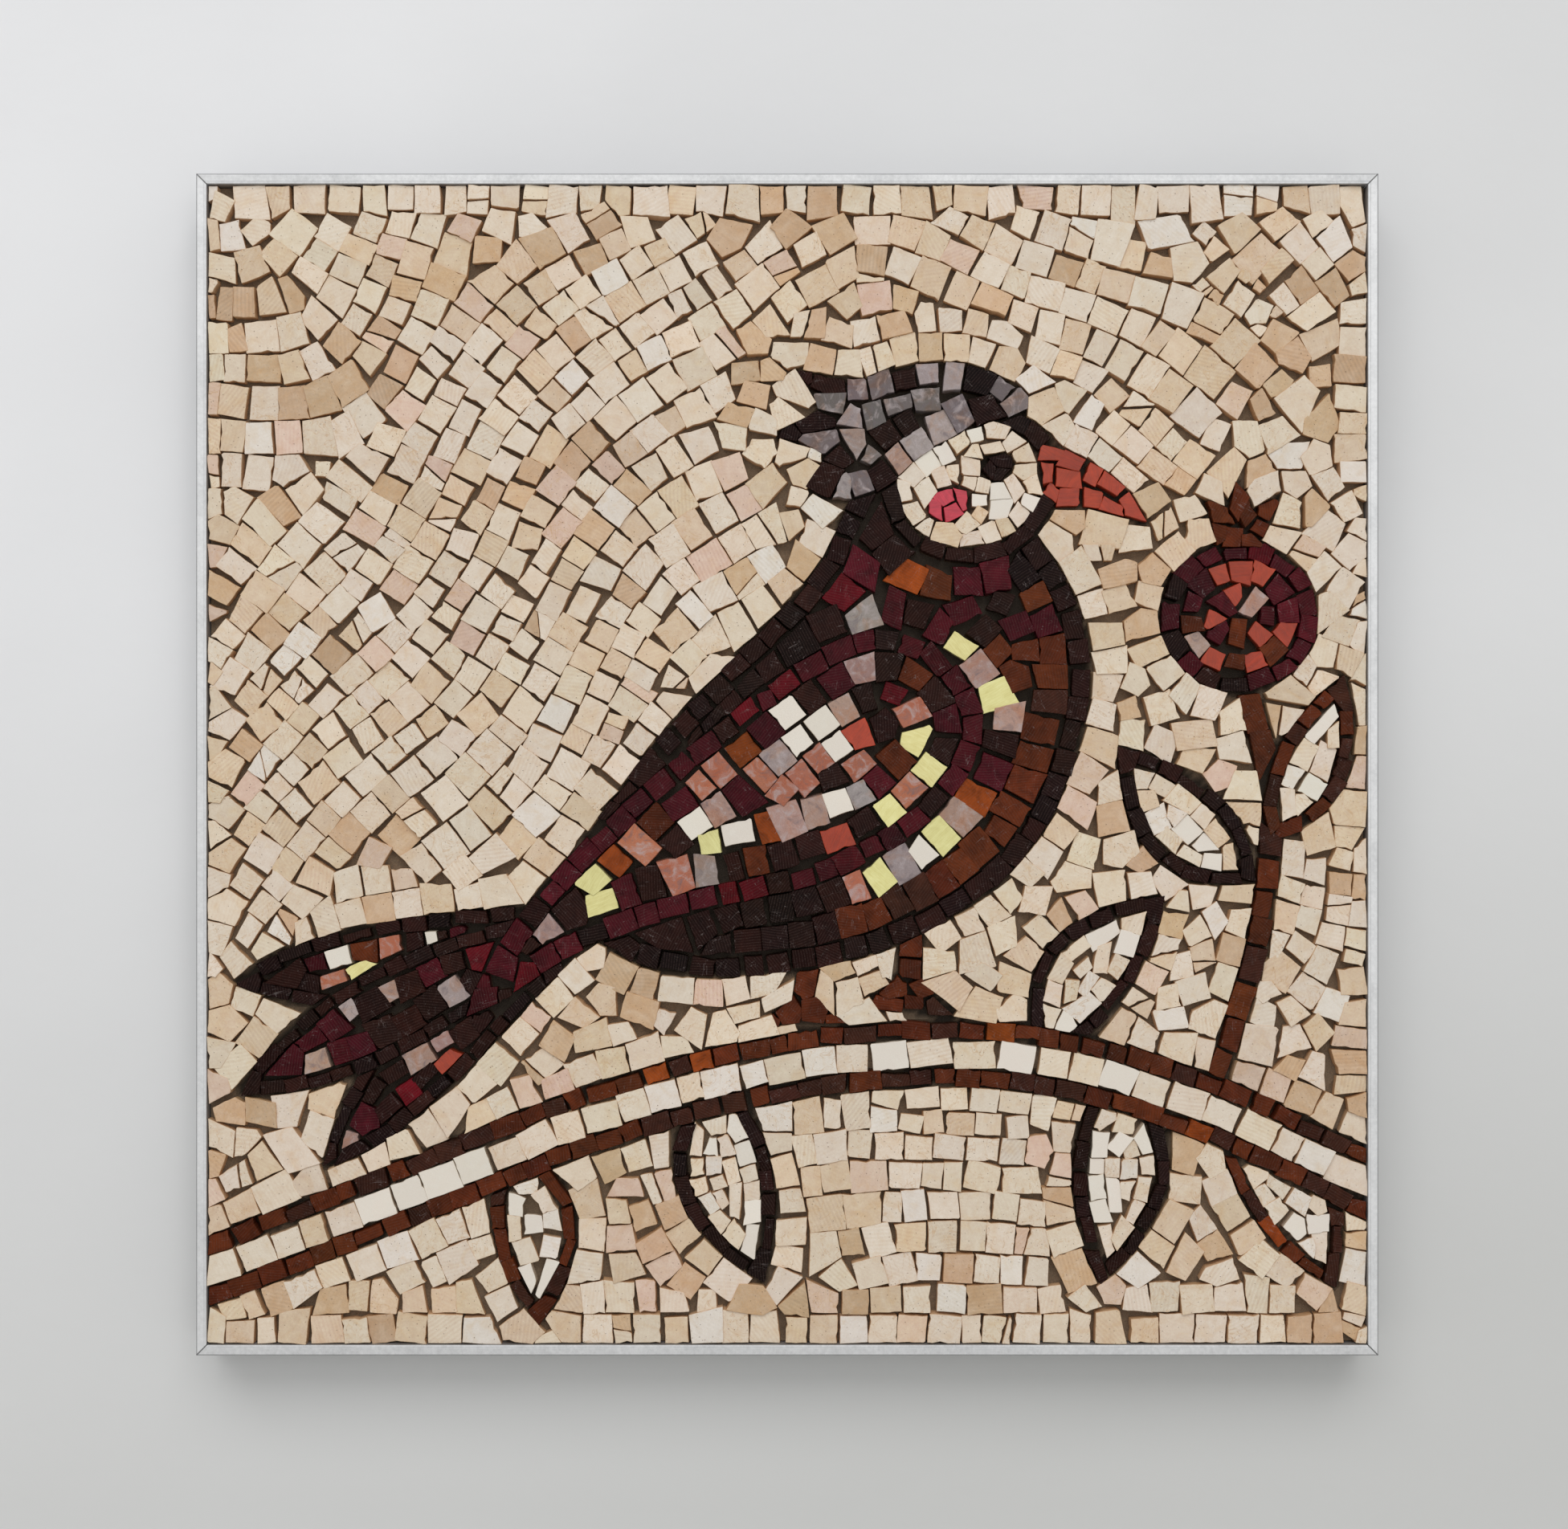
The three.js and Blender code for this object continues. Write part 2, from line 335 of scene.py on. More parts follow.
def even_rows(first, pitch, count, spread=0.0):
    """Levels of rows side by side from a line outwards, each as wide as its pitch."""
    edge, rows = first, []
    for _ in range(count):
        width = pitch * rng.uniform(1 - spread, 1 + spread)
        rows.append((edge + 0.5 * width, width))
        edge += width
    return rows


# ------------------------------------------------------------------ colours of the stones

# Each colour of stone: the kind of stone, its colour in screen values, and how far it varies.
TINTS = {
    "cream": ("limestone", (212, 195, 173), 0.036),
    "pale": ("limestone", (213, 198, 180), 0.03),
    "sand": ("limestone", (205, 182, 154), 0.04),
    "tan": ("limestone", (192, 161, 128), 0.06),
    "blush": ("limestone", (204, 177, 157), 0.05),
    "chalk": ("limestone", (216, 206, 194), 0.025),
    "white": ("marble", (218, 209, 196), 0.022),
    "umber": ("slate", (32, 13, 9), 0.24),
    "coal": ("slate", (25, 11, 9), 0.22),
    "chestnut": ("slate", (80, 35, 15), 0.16),
    "rust": ("slate", (126, 58, 20), 0.14),
    "cocoa": ("slate", (52, 26, 17), 0.14),
    "maroon": ("slate", (62, 12, 20), 0.2),
    "crimson": ("slate", (80, 9, 18), 0.16),
    "lilac": ("schist", (148, 134, 131), 0.12),
    "smoke": ("schist", (104, 94, 93), 0.12),
    "taupe": ("schist", (156, 128, 116), 0.12),
    "salmon": ("schist", (160, 98, 75), 0.1),
    "vermilion": ("smalti", (154, 56, 34), 0.08),
    "straw": ("smalti", (215, 207, 142), 0.04),
    "rose": ("smalti", (192, 62, 76), 0.06),
}
KINDS = ("limestone", "marble", "slate", "schist", "smalti")

# The mixes of tints that stones are drawn from, by weight.
GROUND = {"cream": 9, "pale": 6, "sand": 5, "tan": 1.6, "blush": 1, "chalk": 1.2}
GROUND_WARM = {"cream": 5, "pale": 2, "sand": 7, "tan": 5.5, "blush": 2}
DARK = {"umber": 6, "coal": 3}
BROWN = {"chestnut": 5, "cocoa": 2, "rust": 0.3}
MAROON = {"maroon": 7, "coal": 1, "umber": 1, "crimson": 1}
PLUMAGE = {"umber": 3, "maroon": 4, "chestnut": 1.5, "coal": 1, "crimson": 0.8, "rust": 0.4}
ACCENTS = {"umber": 1.6, "maroon": 1.1, "chestnut": 0.6, "white": 1.5, "straw": 1.4,
           "vermilion": 0.8, "salmon": 0.9, "lilac": 1.3, "taupe": 1.7, "crimson": 0.4, "rust": 0.4}
CHEQUERED = {"umber": 5, "maroon": 3, "chestnut": 1.6, "taupe": 1.6, "lilac": 1, "vermilion": 0.6,
             "salmon": 0.7, "white": 0.9, "straw": 0.8, "crimson": 0.8, "rust": 0.4}
CROWN = {"lilac": 3, "smoke": 3, "umber": 3.5, "coal": 1.5, "taupe": 0.8}
PALE = {"pale": 4, "cream": 4, "white": 3, "chalk": 2, "sand": 1}
FACE_MIX = {"cream": 4, "pale": 4, "white": 3, "sand": 1.2}
FRUIT = {"vermilion": 6, "maroon": 2, "salmon": 1.2, "taupe": 0.6, "chestnut": 1}

# ------------------------------------------------------------------ laying the picture


def curve(points, steps=12):
    """A smooth line through a few points."""
    p = np.array([points[0], *points, points[-1]], float)
    t = np.linspace(0, 1, steps, endpoint=False)[:, None]
    spans = []
    for a, b, c, d in zip(p, p[1:], p[2:], p[3:]):
        spans.append(0.5 * (2 * b + (c - a) * t + (2 * a - 5 * b + 4 * c - d) * t**2
                            + (3 * b - a - 3 * c + d) * t**3))
    return np.concatenate(spans + [p[-1:]])


def ring_rows(area, lengths, mix):
    """The row of stones round an area's fill."""
    name = area[: -len("_outline")]
    row = ROW_WIDTH.get(name, THIN_ROW)
    field = distance(LOOPS[name + "_fill"])
    lay_rows(area, field, [(0.5 * row + OUTLINE_GAP, row)], lengths, mix)


def fill_rows(area, pitch, lengths, mixes):
    """Rows that follow an area's own outline inwards, one mix of colours for each."""
    field = distance(LOOPS[area])
    for number, mix in enumerate(mixes):
        level = (number + 0.5) * pitch
        lay_rows(area, field, [(level, pitch)], lengths, mix)


def lay_strip(area, upright, width, lengths, mix):
    """One row along the middle of a narrow area that runs across the picture, or up it."""
    cells = ZONE == AREAS.index(area)
    cells = cells.T if upright else cells
    used = np.nonzero(cells.sum(0) > 3)[0][::12]  # a point every 12 cells is enough
    middle = (cells * CENTRES[:, None]).sum(0)[used] / cells.sum(0)[used]
    line = np.stack([CENTRES[used], middle], 1)
    zone = AREAS.index(area)
    for x, y, angle, half in steps_along(line[:, ::-1] if upright else line, *lengths):
        set_stone(Stone(x, y, angle + rng.normal(0, 0.06), half, 0.5 * width, zone, mix))


def motif_edges():
    """The sides of the ground that run along the motif, without those along the frame."""
    edges = []
    for loop in LOOPS["ground"]:
        for a, b in zip(loop, loop[1:]):
            if min(abs(a).max(), abs(b).max()) < HALF - 0.1:
                edges.append(np.array([a, b]))
    return edges


# The lines that the rows of the ground follow where they are clear of the motif.
SPINES = [
    curve([(-215, -60), (-150, 20), (-80, 110), (10, 176), (100, 168), (160, 120)]),
    curve([(-215, 150), (-170, 160), (-140, 215)]),
    curve([(215, 96), (180, 128), (140, 176), (136, 215)]),
    curve([(118, 60), (128, 12), (122, -30)]),
]
SPINE_STEP = 3.1  # how much later the rows of each line start than those of the one before
UNDER = 400  # the distances of what is under the branch start at this
FLOW_SPREAD = 0.15  # how much the width of the flowing rows varies
FLOW_WANDER = 0.09

# The two rows along the motif: their middle and width. Each is laid only where patchy() is
# above its limit.
MOTIF_ROWS = ((0.47 * PITCH, 0.94 * PITCH), (1.42 * PITCH, 0.98 * PITCH))
MOTIF_LIMITS = (-0.28, 0.12)
FRAME_ROW = 0.98 * PITCH
ONE_ROW, TWO_ROWS = 7, 17  # how far in from the frame one row and two rows have their middles


def ripple(x, y):
    """Slow waves that keep the rows from running dead parallel."""
    return (4.5 * np.sin(x / 31 + y / 47 + 1.3) + 2.5 * np.sin(y / 23 - x / 61),
            4.5 * np.sin(y / 37 - x / 29 + 0.4) + 2.5 * np.sin(x / 19 + y / 53))


def patchy(x, y):
    """A slow change over the picture, from about -1 to 1."""
    return noise.noise(Vector((x / 55, y / 55, 3.7)))


def lay_ground():
    """Rows along the motif and along the frame in places, and flowing rows in between."""

    def rows(field, levels, wander=0.05, wanted=None):
        lay_rows("ground", field, levels, GROUND_STONE, GROUND, wander, wanted)

    motif = distance(motif_edges())
    rows(motif, MOTIF_ROWS[:1], wanted=lambda x, y: patchy(x, y) > MOTIF_LIMITS[0])
    frame_edge = HALF - np.maximum(abs(GX), abs(GY))
    for count, beside in (
        (1, lambda x, y: y > HALF - ONE_ROW),
        (2, lambda x, y: y < -HALF + TWO_ROWS),
        (1, lambda x, y: x > HALF - ONE_ROW and patchy(x, y) > 0),
    ):
        rows(frame_edge, even_rows(0, FRAME_ROW, count), wanted=beside)
    rows(motif, MOTIF_ROWS[1:], wanted=lambda x, y: patchy(x, y) > MOTIF_LIMITS[1])
    shift_x, shift_y = ripple(GX, GY)
    flow = np.full(GX.shape, FAR)
    for number, spine in enumerate(SPINES):
        away = distance([spine], GX + shift_x, GY + shift_y)
        flow = np.minimum(flow, away + SPINE_STEP * number)
    below = distance(LOOPS["branch_fill"], GX + 0.5 * shift_x, GY + 0.5 * shift_y)
    branch = sorted(map(tuple, LOOPS["branch_fill"][0]))
    flow = np.where(np.interp(GX, *zip(*branch)) > GY, below + UNDER, flow)
    for first, count in ((0, 30), (UNDER, 14)):
        rows(flow, even_rows(first, PITCH, count, FLOW_SPREAD), FLOW_WANDER)


# Areas that rows fill from their outline inwards: how wide the rows are, the shortest and the
# longest stone, and the mix of each row.
FILLS = {
    "wing_fill": (CHEQUER, (7.5, 11), [CHEQUERED, ACCENTS, ACCENTS, ACCENTS]),
    "body_fill": (CHEQUER, (7.5, 11), [DARK] * 5),
    "crown": (8.4, (6.5, 11), [CROWN] * 3),
    "face_fill": (5.6, (4, 8), [FACE_MIX] * 5),
    "fruit_fill": (7.6, (6, 9), [FRUIT] * 3),
    "beak": (5.5, (6, 10), [{"vermilion": 1}] * 2),
    "eye": (4.6, (5, 8), [{"coal": 1}]),
    "cheek": (6.0, (5, 8), [{"rose": 1}]),
    "fruit_crown": (5.0, (5, 9), [BROWN] * 2),
    "leg_front": (6.0, (6, 10), [BROWN] * 2),
    "leg_back": (6.0, (6, 10), [BROWN] * 2),
}
BROWN_OUTLINES = ("leaf_2_outline", "leaf_4_outline", "leaf_6_outline", "branch_outline")
MAROON_OUTLINES = ("fruit_outline", "wing_outline")


def lay_picture():
    """Outlines, leaves and feathers first, then what they enclose, and the ground last."""
    for area in AREAS:
        if area.endswith("_outline"):
            mix = BROWN if area in BROWN_OUTLINES else MAROON if area in MAROON_OUTLINES else DARK
            thin = area.startswith(("leaf", "feather", "face", "wing"))
            ring_rows(area, (6, 13) if thin else (6.5, 11.5), mix)
        elif area.startswith("leaf"):
            fill_rows(area, 5.6, (5, 12), [PALE] * 3)
        elif area.startswith("feather"):
            fill_rows(area, 6.6, (6, 11), [CHEQUERED, ACCENTS])
    for area, (pitch, lengths, mixes) in FILLS.items():
        fill_rows(area, pitch, lengths, mixes)
    lay_strip("stem", True, 7.0, (8, 15), BROWN)
    lay_strip("branch_fill", False, 9.0, (8, 16), PALE)
    lay_ground()


WARM_PATCH = 0.16  # the ground is warmer where patchy() is above this
BREAST = 20  # the bird's breast is to the right of this
NECK = 44  # its neck is above this
WING_HEM = 9.5  # width of the accents round the front of the wing


def colour_areas():
    """Changes of colour inside an area: warm patches in the ground, the bird's neck and breast."""
    wing, body = distance(LOOPS["wing_outline"]), AREAS.index("body_fill")
    for stone in stones:
        x, y = stone.x, stone.y
        if stone.mix is GROUND and patchy(x, y) > WARM_PATCH:
            stone.mix = GROUND_WARM
        if stone.zone == body and stone.mix is DARK:
            row, column = np.abs(GRID - y).argmin(), np.abs(GRID - x).argmin()
            if wing[row, column] < WING_HEM and x > BREAST:
                stone.mix = ACCENTS
            elif y > NECK:
                stone.mix = PLUMAGE
            elif x > BREAST:
                stone.mix = BROWN


# ------------------------------------------------------------------ sharing out the bed


def claim_cells():
    """Gives every cell to the stone of its area that is nearest by the stones' own sizes."""
    owner = np.full(ZONE.shape, -1)
    nearest = np.full(ZONE.shape, FAR)
    for number, stone in enumerate(stones):
        where, _, _, size = stone.view()
        reach = REACH if AREAS[stone.zone] == "ground" else FIGURE_REACH
        won = (size < np.minimum(nearest[where], reach)) & (ZONE[where] == stone.zone)
        owner[where][won] = number
        nearest[where][won] = size[won]
    return owner


def settle(owner):
    """Moves each stone to the middle of the cells it has, and sizes it to them."""
    kept = []
    for number, stone in enumerate(stones):
        where, u, v, _ = stone.view()
        mine = owner[where] == number
        if mine.sum() * CELL**2 < SMALLEST:
            continue
        du, dv = u[mine], v[mine]
        along, across = math.cos(stone.angle), math.sin(stone.angle)
        stone.x += du.mean() * along - dv.mean() * across
        stone.y += du.mean() * across + dv.mean() * along
        stone.a = 0.5 * (stone.a + math.sqrt(3 * du.var()))  # half way to a bar of that spread
        stone.b = 0.5 * (stone.b + math.sqrt(3 * dv.var()))
        kept.append(stone)
    stones[:] = kept


def plug_gaps(owner):
    """Sets stones in the bare places that are wide enough to show, the widest places first."""
    bare = (owner < 0) & (ZONE >= 0)
    for half, share in PLUGS:
        side = round(2 * half / CELL)
        sums = np.pad(bare.cumsum(0).cumsum(1), ((1, 0), (1, 0)))
        filled = sums[side:, side:] - sums[:-side, side:]
        filled += sums[:-side, :-side] - sums[side:, :-side]
        spots = np.argwhere(filled > share * side**2)
        spots = spots[np.argsort(-filled[tuple(spots.T)], kind="stable")]
        for row, column in spots.tolist():
            here = slice(row, row + side), slice(column, column + side)
            if bare[here].sum() <= share * side**2:
                continue
            x, y = CENTRES[column] + half, CENTRES[row] + half
            zone = ZONE[row + side // 2, column + side // 2]
            alike = [s for s in stones if s.zone == zone]
            if alike:
                near = min(alike, key=lambda s: (s.x - x) ** 2 + (s.y - y) ** 2)
                stones.append(Stone(x, y, near.angle, half, half, zone, near.mix))
            bare[here] = False


# ------------------------------------------------------------------ cutting the stones


def hull(points):
    """The convex outline of some points, anticlockwise."""
    points = sorted(set(points))
    chains = []
    for run in (points, points[::-1]):
        chain = []
        for p in run:
            while len(chain) > 1 and cross(chain[-2], chain[-1], p) <= 1e-9:
                chain.pop()
            chain.append(p)
        chains.append(chain[:-1])
    return chains[0] + chains[1]


def cross(a, b, c):
    """Twice the area of a triangle, more than 0 where it runs anticlockwise."""
    return (b[0] - a[0]) * (c[1] - a[1]) - (b[1] - a[1]) * (c[0] - a[0])


def meeting(a, b, c, d):
    """Where the line through a and b meets the line through c and d."""
    turn = (b[0] - a[0]) * (d[1] - c[1]) - (b[1] - a[1]) * (d[0] - c[0])
    if abs(turn) < 1e-6:
        return None
    t = ((c[0] - a[0]) * (d[1] - c[1]) - (c[1] - a[1]) * (d[0] - c[0])) / turn
    return (a[0] + t * (b[0] - a[0]), a[1] + t * (b[1] - a[1]))


SPARE = 0.9  # how much bed, in square millimetres, a stone may take beyond its share
CORNER_BITE = 0.13  # the share of a stone that goes with a corner of more than four
LAST_BITE = 0.03  # and with one of the four


def squared_off(loop):
    """The outline as a few clean cuts, four as a rule.

    A short side goes where its neighbours can meet outside it without taking much more than
    the stone's share of the bed. After that the slightest corners are taken off.
    """
    loop = list(loop)
    while len(loop) > 4:
        best = None
        for i in range(len(loop)):
            a, b, c, d = loop[i - 1], loop[i], loop[(i + 1) % len(loop)], loop[(i + 2) % len(loop)]
            corner = meeting(a, b, d, c)
            if corner is None or cross(b, corner, c) <= 0:
                continue
            added = 0.5 * cross(b, corner, c)
            if added < SPARE and (best is None or added < best[0]):
                best = added, i, corner
        if best is None:
            break
        _, i, corner = best
        loop[i] = corner
        loop.pop((i + 1) % len(loop))
    whole = area_inside(loop)
    while len(loop) > 3:
        bites = [0.5 * abs(cross(loop[i - 1], loop[i], loop[(i + 1) % len(loop)]))
                 for i in range(len(loop))]
        least = int(np.argmin(bites))
        if bites[least] > whole * (LAST_BITE if len(loop) == 4 else CORNER_BITE):
            break
        loop.pop(least)
    return loop


def inward_from_sides(loop):
    """For each side, the direction straight into the stone."""
    sides = np.roll(loop, -1, 0) - loop
    sides /= np.maximum(np.hypot(*sides.T), 1e-9)[:, None]
    return np.stack([-sides[:, 1], sides[:, 0]], 1)


def drawn_in(loop, gaps):
    """The outline with each side moved inwards by its own gap."""
    loop = np.array(loop)
    inward = inward_from_sides(loop)
    offset = (loop * inward).sum(1) + gaps
    moved = []
    for i in range(len(loop)):
        n0, n1, c0, c1 = inward[i - 1], inward[i], offset[i - 1], offset[i]
        det = n0[0] * n1[1] - n0[1] * n1[0]
        if abs(det) < 0.05:
            moved.append(loop[i] + inward[i] * gaps[i])
        else:
            moved.append(((c0 * n1[1] - c1 * n0[1]) / det, (c1 * n0[0] - c0 * n1[0]) / det))
    return np.array(moved)


def area_inside(loop):
    """Its area, more than 0 where it runs anticlockwise."""
    x, y = np.array(loop).T
    return 0.5 * float(np.sum(x * np.roll(y, -1) - np.roll(x, -1) * y))


NIP = (0.03, 0.2)  # how much is off a corner, as a rule
BROKEN, BROKEN_NIP = 0.08, 4.0  # the share of corners that are broken off, and how much further
STRETCH = 2.6  # length of the stretches in which a side wavers
WAVER = 0.065  # how far it does
BULGE = 0.1  # how far a whole side bows out or in
CHIPPED, CHIP = 0.05, (0.25, 0.6)  # the share of stretches with a chip, and how deep it is


def hand_cut(loop):
    """The outline as a hammer leaves it: nipped corners, and sides that waver and are chipped."""
    cut = []
    for i in range(len(loop)):
        before, here, after = loop[i - 1], loop[i], loop[(i + 1) % len(loop)]
        back, on = before - here, after - here
        back_length, length = np.hypot(*back), np.hypot(*on)
        nip = rng.uniform(*NIP) * (BROKEN_NIP if rng.random() < BROKEN else 1.0)
        cut.append(here + back / back_length * min(nip, 0.3 * back_length))
        cut.append(here + on / length * min(nip * rng.uniform(0.6, 1.4), 0.3 * length))
        middles = int(np.clip(round(length / STRETCH), 1, 4))
        outward = np.array([on[1], -on[0]]) / length
        bulge = rng.normal(0.0, BULGE)
        for step in range(1, middles + 1):
            part = (step + rng.uniform(-0.25, 0.25)) / (middles + 1)
            chip = -rng.uniform(*CHIP) if rng.random() < CHIPPED else rng.normal(0, WAVER)
            cut.append(here + on * part + outward * (bulge * 4 * part * (1 - part) + chip))
    return np.array(cut)


SMALL_SHARE, FULL_SIZE = 0.4, 8  # small stones keep this share of their gaps, and these all
NARROWED = (1.0, 0.6, 0.3)  # the shares of its gaps that are tried on a stone
LEAST_LEFT = 0.45  # until this much of its share of the bed is left


def cut_stones(owner):
    """Cuts every stone to the cells it has, less its joints.

    Joints that would take too much of a small stone are made narrower.
    """
    for number, stone in enumerate(stones):
        where = stone.view(1.7)[0]
        mine = owner[where] == number
        if mine.sum() * CELL**2 < SMALLEST:
            continue
        x, y = CENTRES[where[1]], CENTRES[where[0]]
        points = []
        for row in np.nonzero(mine.any(1))[0].tolist():
            columns = np.nonzero(mine[row])[0]
            for level in (y[row] - CELL / 2, y[row] + CELL / 2):
                points.append((x[columns[0]] - CELL / 2, level))
                points.append((x[columns[-1]] + CELL / 2, level))
        loop = squared_off(hull(points))
        size = min(1.0, math.sqrt(mine.sum()) * CELL / FULL_SIZE)
        gaps = JOINT + rng.exponential(JOINT_SPREAD, len(loop))
        more = rng.uniform(0, 2 * WIDE_JOINT, len(loop))
        gaps += more * (rng.random(len(loop)) < WIDE_SIDES)
        gaps = np.minimum(gaps, WIDEST_JOINT) * (SMALL_SHARE + (1 - SMALL_SHARE) * size)
        if AREAS[stone.zone] not in PALE_AREAS:
            gaps *= DARK_JOINT
        edge = np.abs(np.array(loop)).max(1) > HALF - 1
        gaps[edge & np.roll(edge, -1)] *= FRAME_JOINT
        for share in NARROWED:
            smaller = drawn_in(loop, gaps * share)
            if area_inside(smaller) > LEAST_LEFT * area_inside(loop):
                stone.corners = turned(smaller, rng.normal(0, SKEW))
                break


def turned(loop, angle):
    """The outline turned about its middle."""
    middle = loop.mean(0)
    x, y = (loop - middle).T
    along, across = math.cos(angle), math.sin(angle)
    return middle + np.stack([x * along - y * across, x * across + y * along], 1)


FIRST_BREAK, SECOND_BREAK = (0.25, 0.75), (0, 0.9)  # where a blow crosses its two sides
BREAK_GAP = (0.1, 0.5)  # how far each half stays back from the break


def halved(stone):
    """A four-sided stone cut in two by a slanting blow, with a gap between the halves."""
    corners = stone.corners
    sides = np.roll(corners, -1, 0) - corners
    first = int(np.argmax(np.hypot(*sides.T)))
    second = (first + 2) % 4
    here = corners[first] + rng.uniform(*FIRST_BREAK) * sides[first]
    there = corners[second] + rng.uniform(*SECOND_BREAK) * sides[second]
    after_first, after_second = (first + 1) % 4, (second + 1) % 4
    halves = []
    for loop in ([here, corners[after_first], corners[second], there],
                 [there, corners[after_second], corners[first], here]):
        half = Stone(stone.x, stone.y, stone.angle, stone.a, stone.b, stone.zone, stone.mix)
        half.corners = drawn_in(loop, np.array([0.0, 0.0, 0.0, rng.uniform(*BREAK_GAP)]))
        halves.append(half)
    return halves


def lay_mosaic():
    """Lays the picture, shares out the bed among its stones and cuts them to their shares."""
    lay_picture()
    settle(claim_cells())
    plug_gaps(claim_cells())
    settle(claim_cells())
    colour_areas()
    cut_stones(claim_cells())
    cut = [s for s in stones if s.corners is not None]
    stones.clear()
    for stone in cut:
        split = AREAS[stone.zone] == "ground" and len(stone.corners) == 4 and rng.random() < HALVED
        stones.extend(halved(stone) if split else [stone])
    for stone in stones:
        stone.corners = hand_cut(stone.corners)
    stones[:] = [s for s in stones if area_inside(s.corners) > CRUMB]


# ------------------------------------------------------------------ node trees


class Shading:
    """A material's nodes, put together step by step."""

    def __init__(self, name, **sockets):
        self.material = bpy.data.materials.new(name)
        self.material.use_nodes = True
        self.tree = self.material.node_tree
        self.shader = self.tree.nodes["Principled BSDF"]
        for socket, value in sockets.items():
            self.shader.inputs[socket.replace("_", " ")].default_value = value

    def add(self, kind, inputs=(), **settings):
        node = self.tree.nodes.new(kind)
        for key, value in settings.items():
            setattr(node, key, value)
        for key, value in dict(inputs).items():
            if isinstance(value, bpy.types.NodeSocket):
                self.tree.links.new(value, node.inputs[key])
            else:
                node.inputs[key].default_value = value
        return node

    def attribute(self, name, output="Fac"):
        return self.add("ShaderNodeAttribute", attribute_name=name).outputs[output]

    def millimetres(self):
        """Places in the frame, in millimetres."""
        places = self.add("ShaderNodeTexCoord").outputs["Object"]
        return self.vector("SCALE", places, scale=1 / MM)

    def stretched(self, at, scale):
        """Places drawn together or apart along each axis."""
        return self.add("ShaderNodeMapping", {"Vector": at, "Scale": scale}).outputs["Vector"]

    def axes(self, at):
        return self.add("ShaderNodeSeparateXYZ", {0: at}).outputs

    def vector(self, operation, one, other=None, scale=None):
        inputs = {0: one}
        if other is not None:
            inputs[1] = other
        if scale is not None:
            inputs["Scale"] = scale
        node = self.add("ShaderNodeVectorMath", inputs, operation=operation)
        return node.outputs["Value" if operation == "DOT_PRODUCT" else "Vector"]

    def math(self, operation, *values):
        return self.add("ShaderNodeMath", dict(enumerate(values)), operation=operation).outputs[0]

    def noise(self, at, scale, detail=3.0, roughness=0.55, distortion=0.0):
        """Soft patches, with so many to the millimetre."""
        inputs = {"Vector": at, "Scale": scale, "Detail": detail, "Roughness": roughness,
                  "Distortion": distortion}
        return self.add("ShaderNodeTexNoise", inputs).outputs["Fac"]

    def band(self, value, low, high, start=0.0, end=1.0):
        """A value taken from one range to another, and held at its ends."""
        inputs = {"Value": value, "From Min": low, "From Max": high, "To Min": start, "To Max": end}
        return self.add("ShaderNodeMapRange", inputs).outputs["Result"]

    def blend(self, share, one, other, how="MIX"):
        """Two colours mixed by a share."""
        inputs = {0: share, 6: one, 7: other}
        node = self.add("ShaderNodeMix", inputs, data_type="RGBA", blend_type=how)
        return node.outputs[2]

    def overlaid(self, share, colour, pattern):
        """A colour made lighter and darker by a pattern."""
        return self.blend(share, colour, self.blend(1.0, colour, pattern, "OVERLAY"))

    def tinged(self, share, colour, tinge):
        """A colour multiplied by another."""
        return self.blend(share, colour, self.blend(1.0, colour, tinge, "MULTIPLY"))

    def spots(self, at, scale, inner, outer, strength):
        """Small spots, strong within one distance of their middles and gone at another."""
        cells = self.add("ShaderNodeTexVoronoi", {"Vector": at, "Scale": scale})
        return self.band(cells.outputs["Distance"], inner, outer, strength, 0.0)

    def hairline(self, field, width, strength):
        """Thin lines where a noise passes through its middle."""
        off = self.math("ABSOLUTE", self.math("SUBTRACT", field, 0.5))
        return self.band(off, 0.0, width, strength, 0.0)

    def bump(self, height, depth, under=None):
        """Relief of so many millimetres on top of what is under it."""
        inputs = {"Height": height, "Distance": depth * MM, "Strength": 1.0}
        if under is not None:
            inputs["Normal"] = under
        return self.add("ShaderNodeBump", inputs).outputs["Normal"]

    def finish(self, colour=None, roughness=None, normal=None):
        """The material, with what is given led into its shader."""
        for socket, value in (("Base Color", colour), ("Roughness", roughness), ("Normal", normal)):
            if value is not None:
                self.tree.links.new(value, self.shader.inputs[socket])
        return self.material


def screen(red, green, blue):
    """A colour given in screen values from 0 to 255, as light."""
    light = [v / 255 for v in (red, green, blue)]
    return [v / 12.92 if v < 0.04045 else ((v + 0.055) / 1.055) ** 2.4 for v in light] + [1.0]


# ------------------------------------------------------------------ finishes of the stones

LOT_SHIFT = (631.0, 277.0)  # how far apart, across and up, stones take their patterns
ONE_WAVE = 0.314  # the scale at which a wave repeats every millimetre


def stone_ground(shade):
    """What a stone's finish starts from: places, places turned its own way, and its tint."""
    at = shade.millimetres()
    rotate = {"Vector": at, "Axis": (0, 1, 0), "Angle": shade.attribute("saw")}
    own_way = shade.add("ShaderNodeVectorRotate", rotate, rotation_type="AXIS_ANGLE")
    lot = shade.attribute("lot")
    across, up = (shade.math("MULTIPLY", lot, shift) for shift in LOT_SHIFT)
    shift = shade.add("ShaderNodeCombineXYZ", {"X": across, "Y": 0.0, "Z": up})
    own = shade.vector("ADD", own_way.outputs["Vector"], shift.outputs["Vector"])
    return at, own, shade.attribute("tint", "Color")


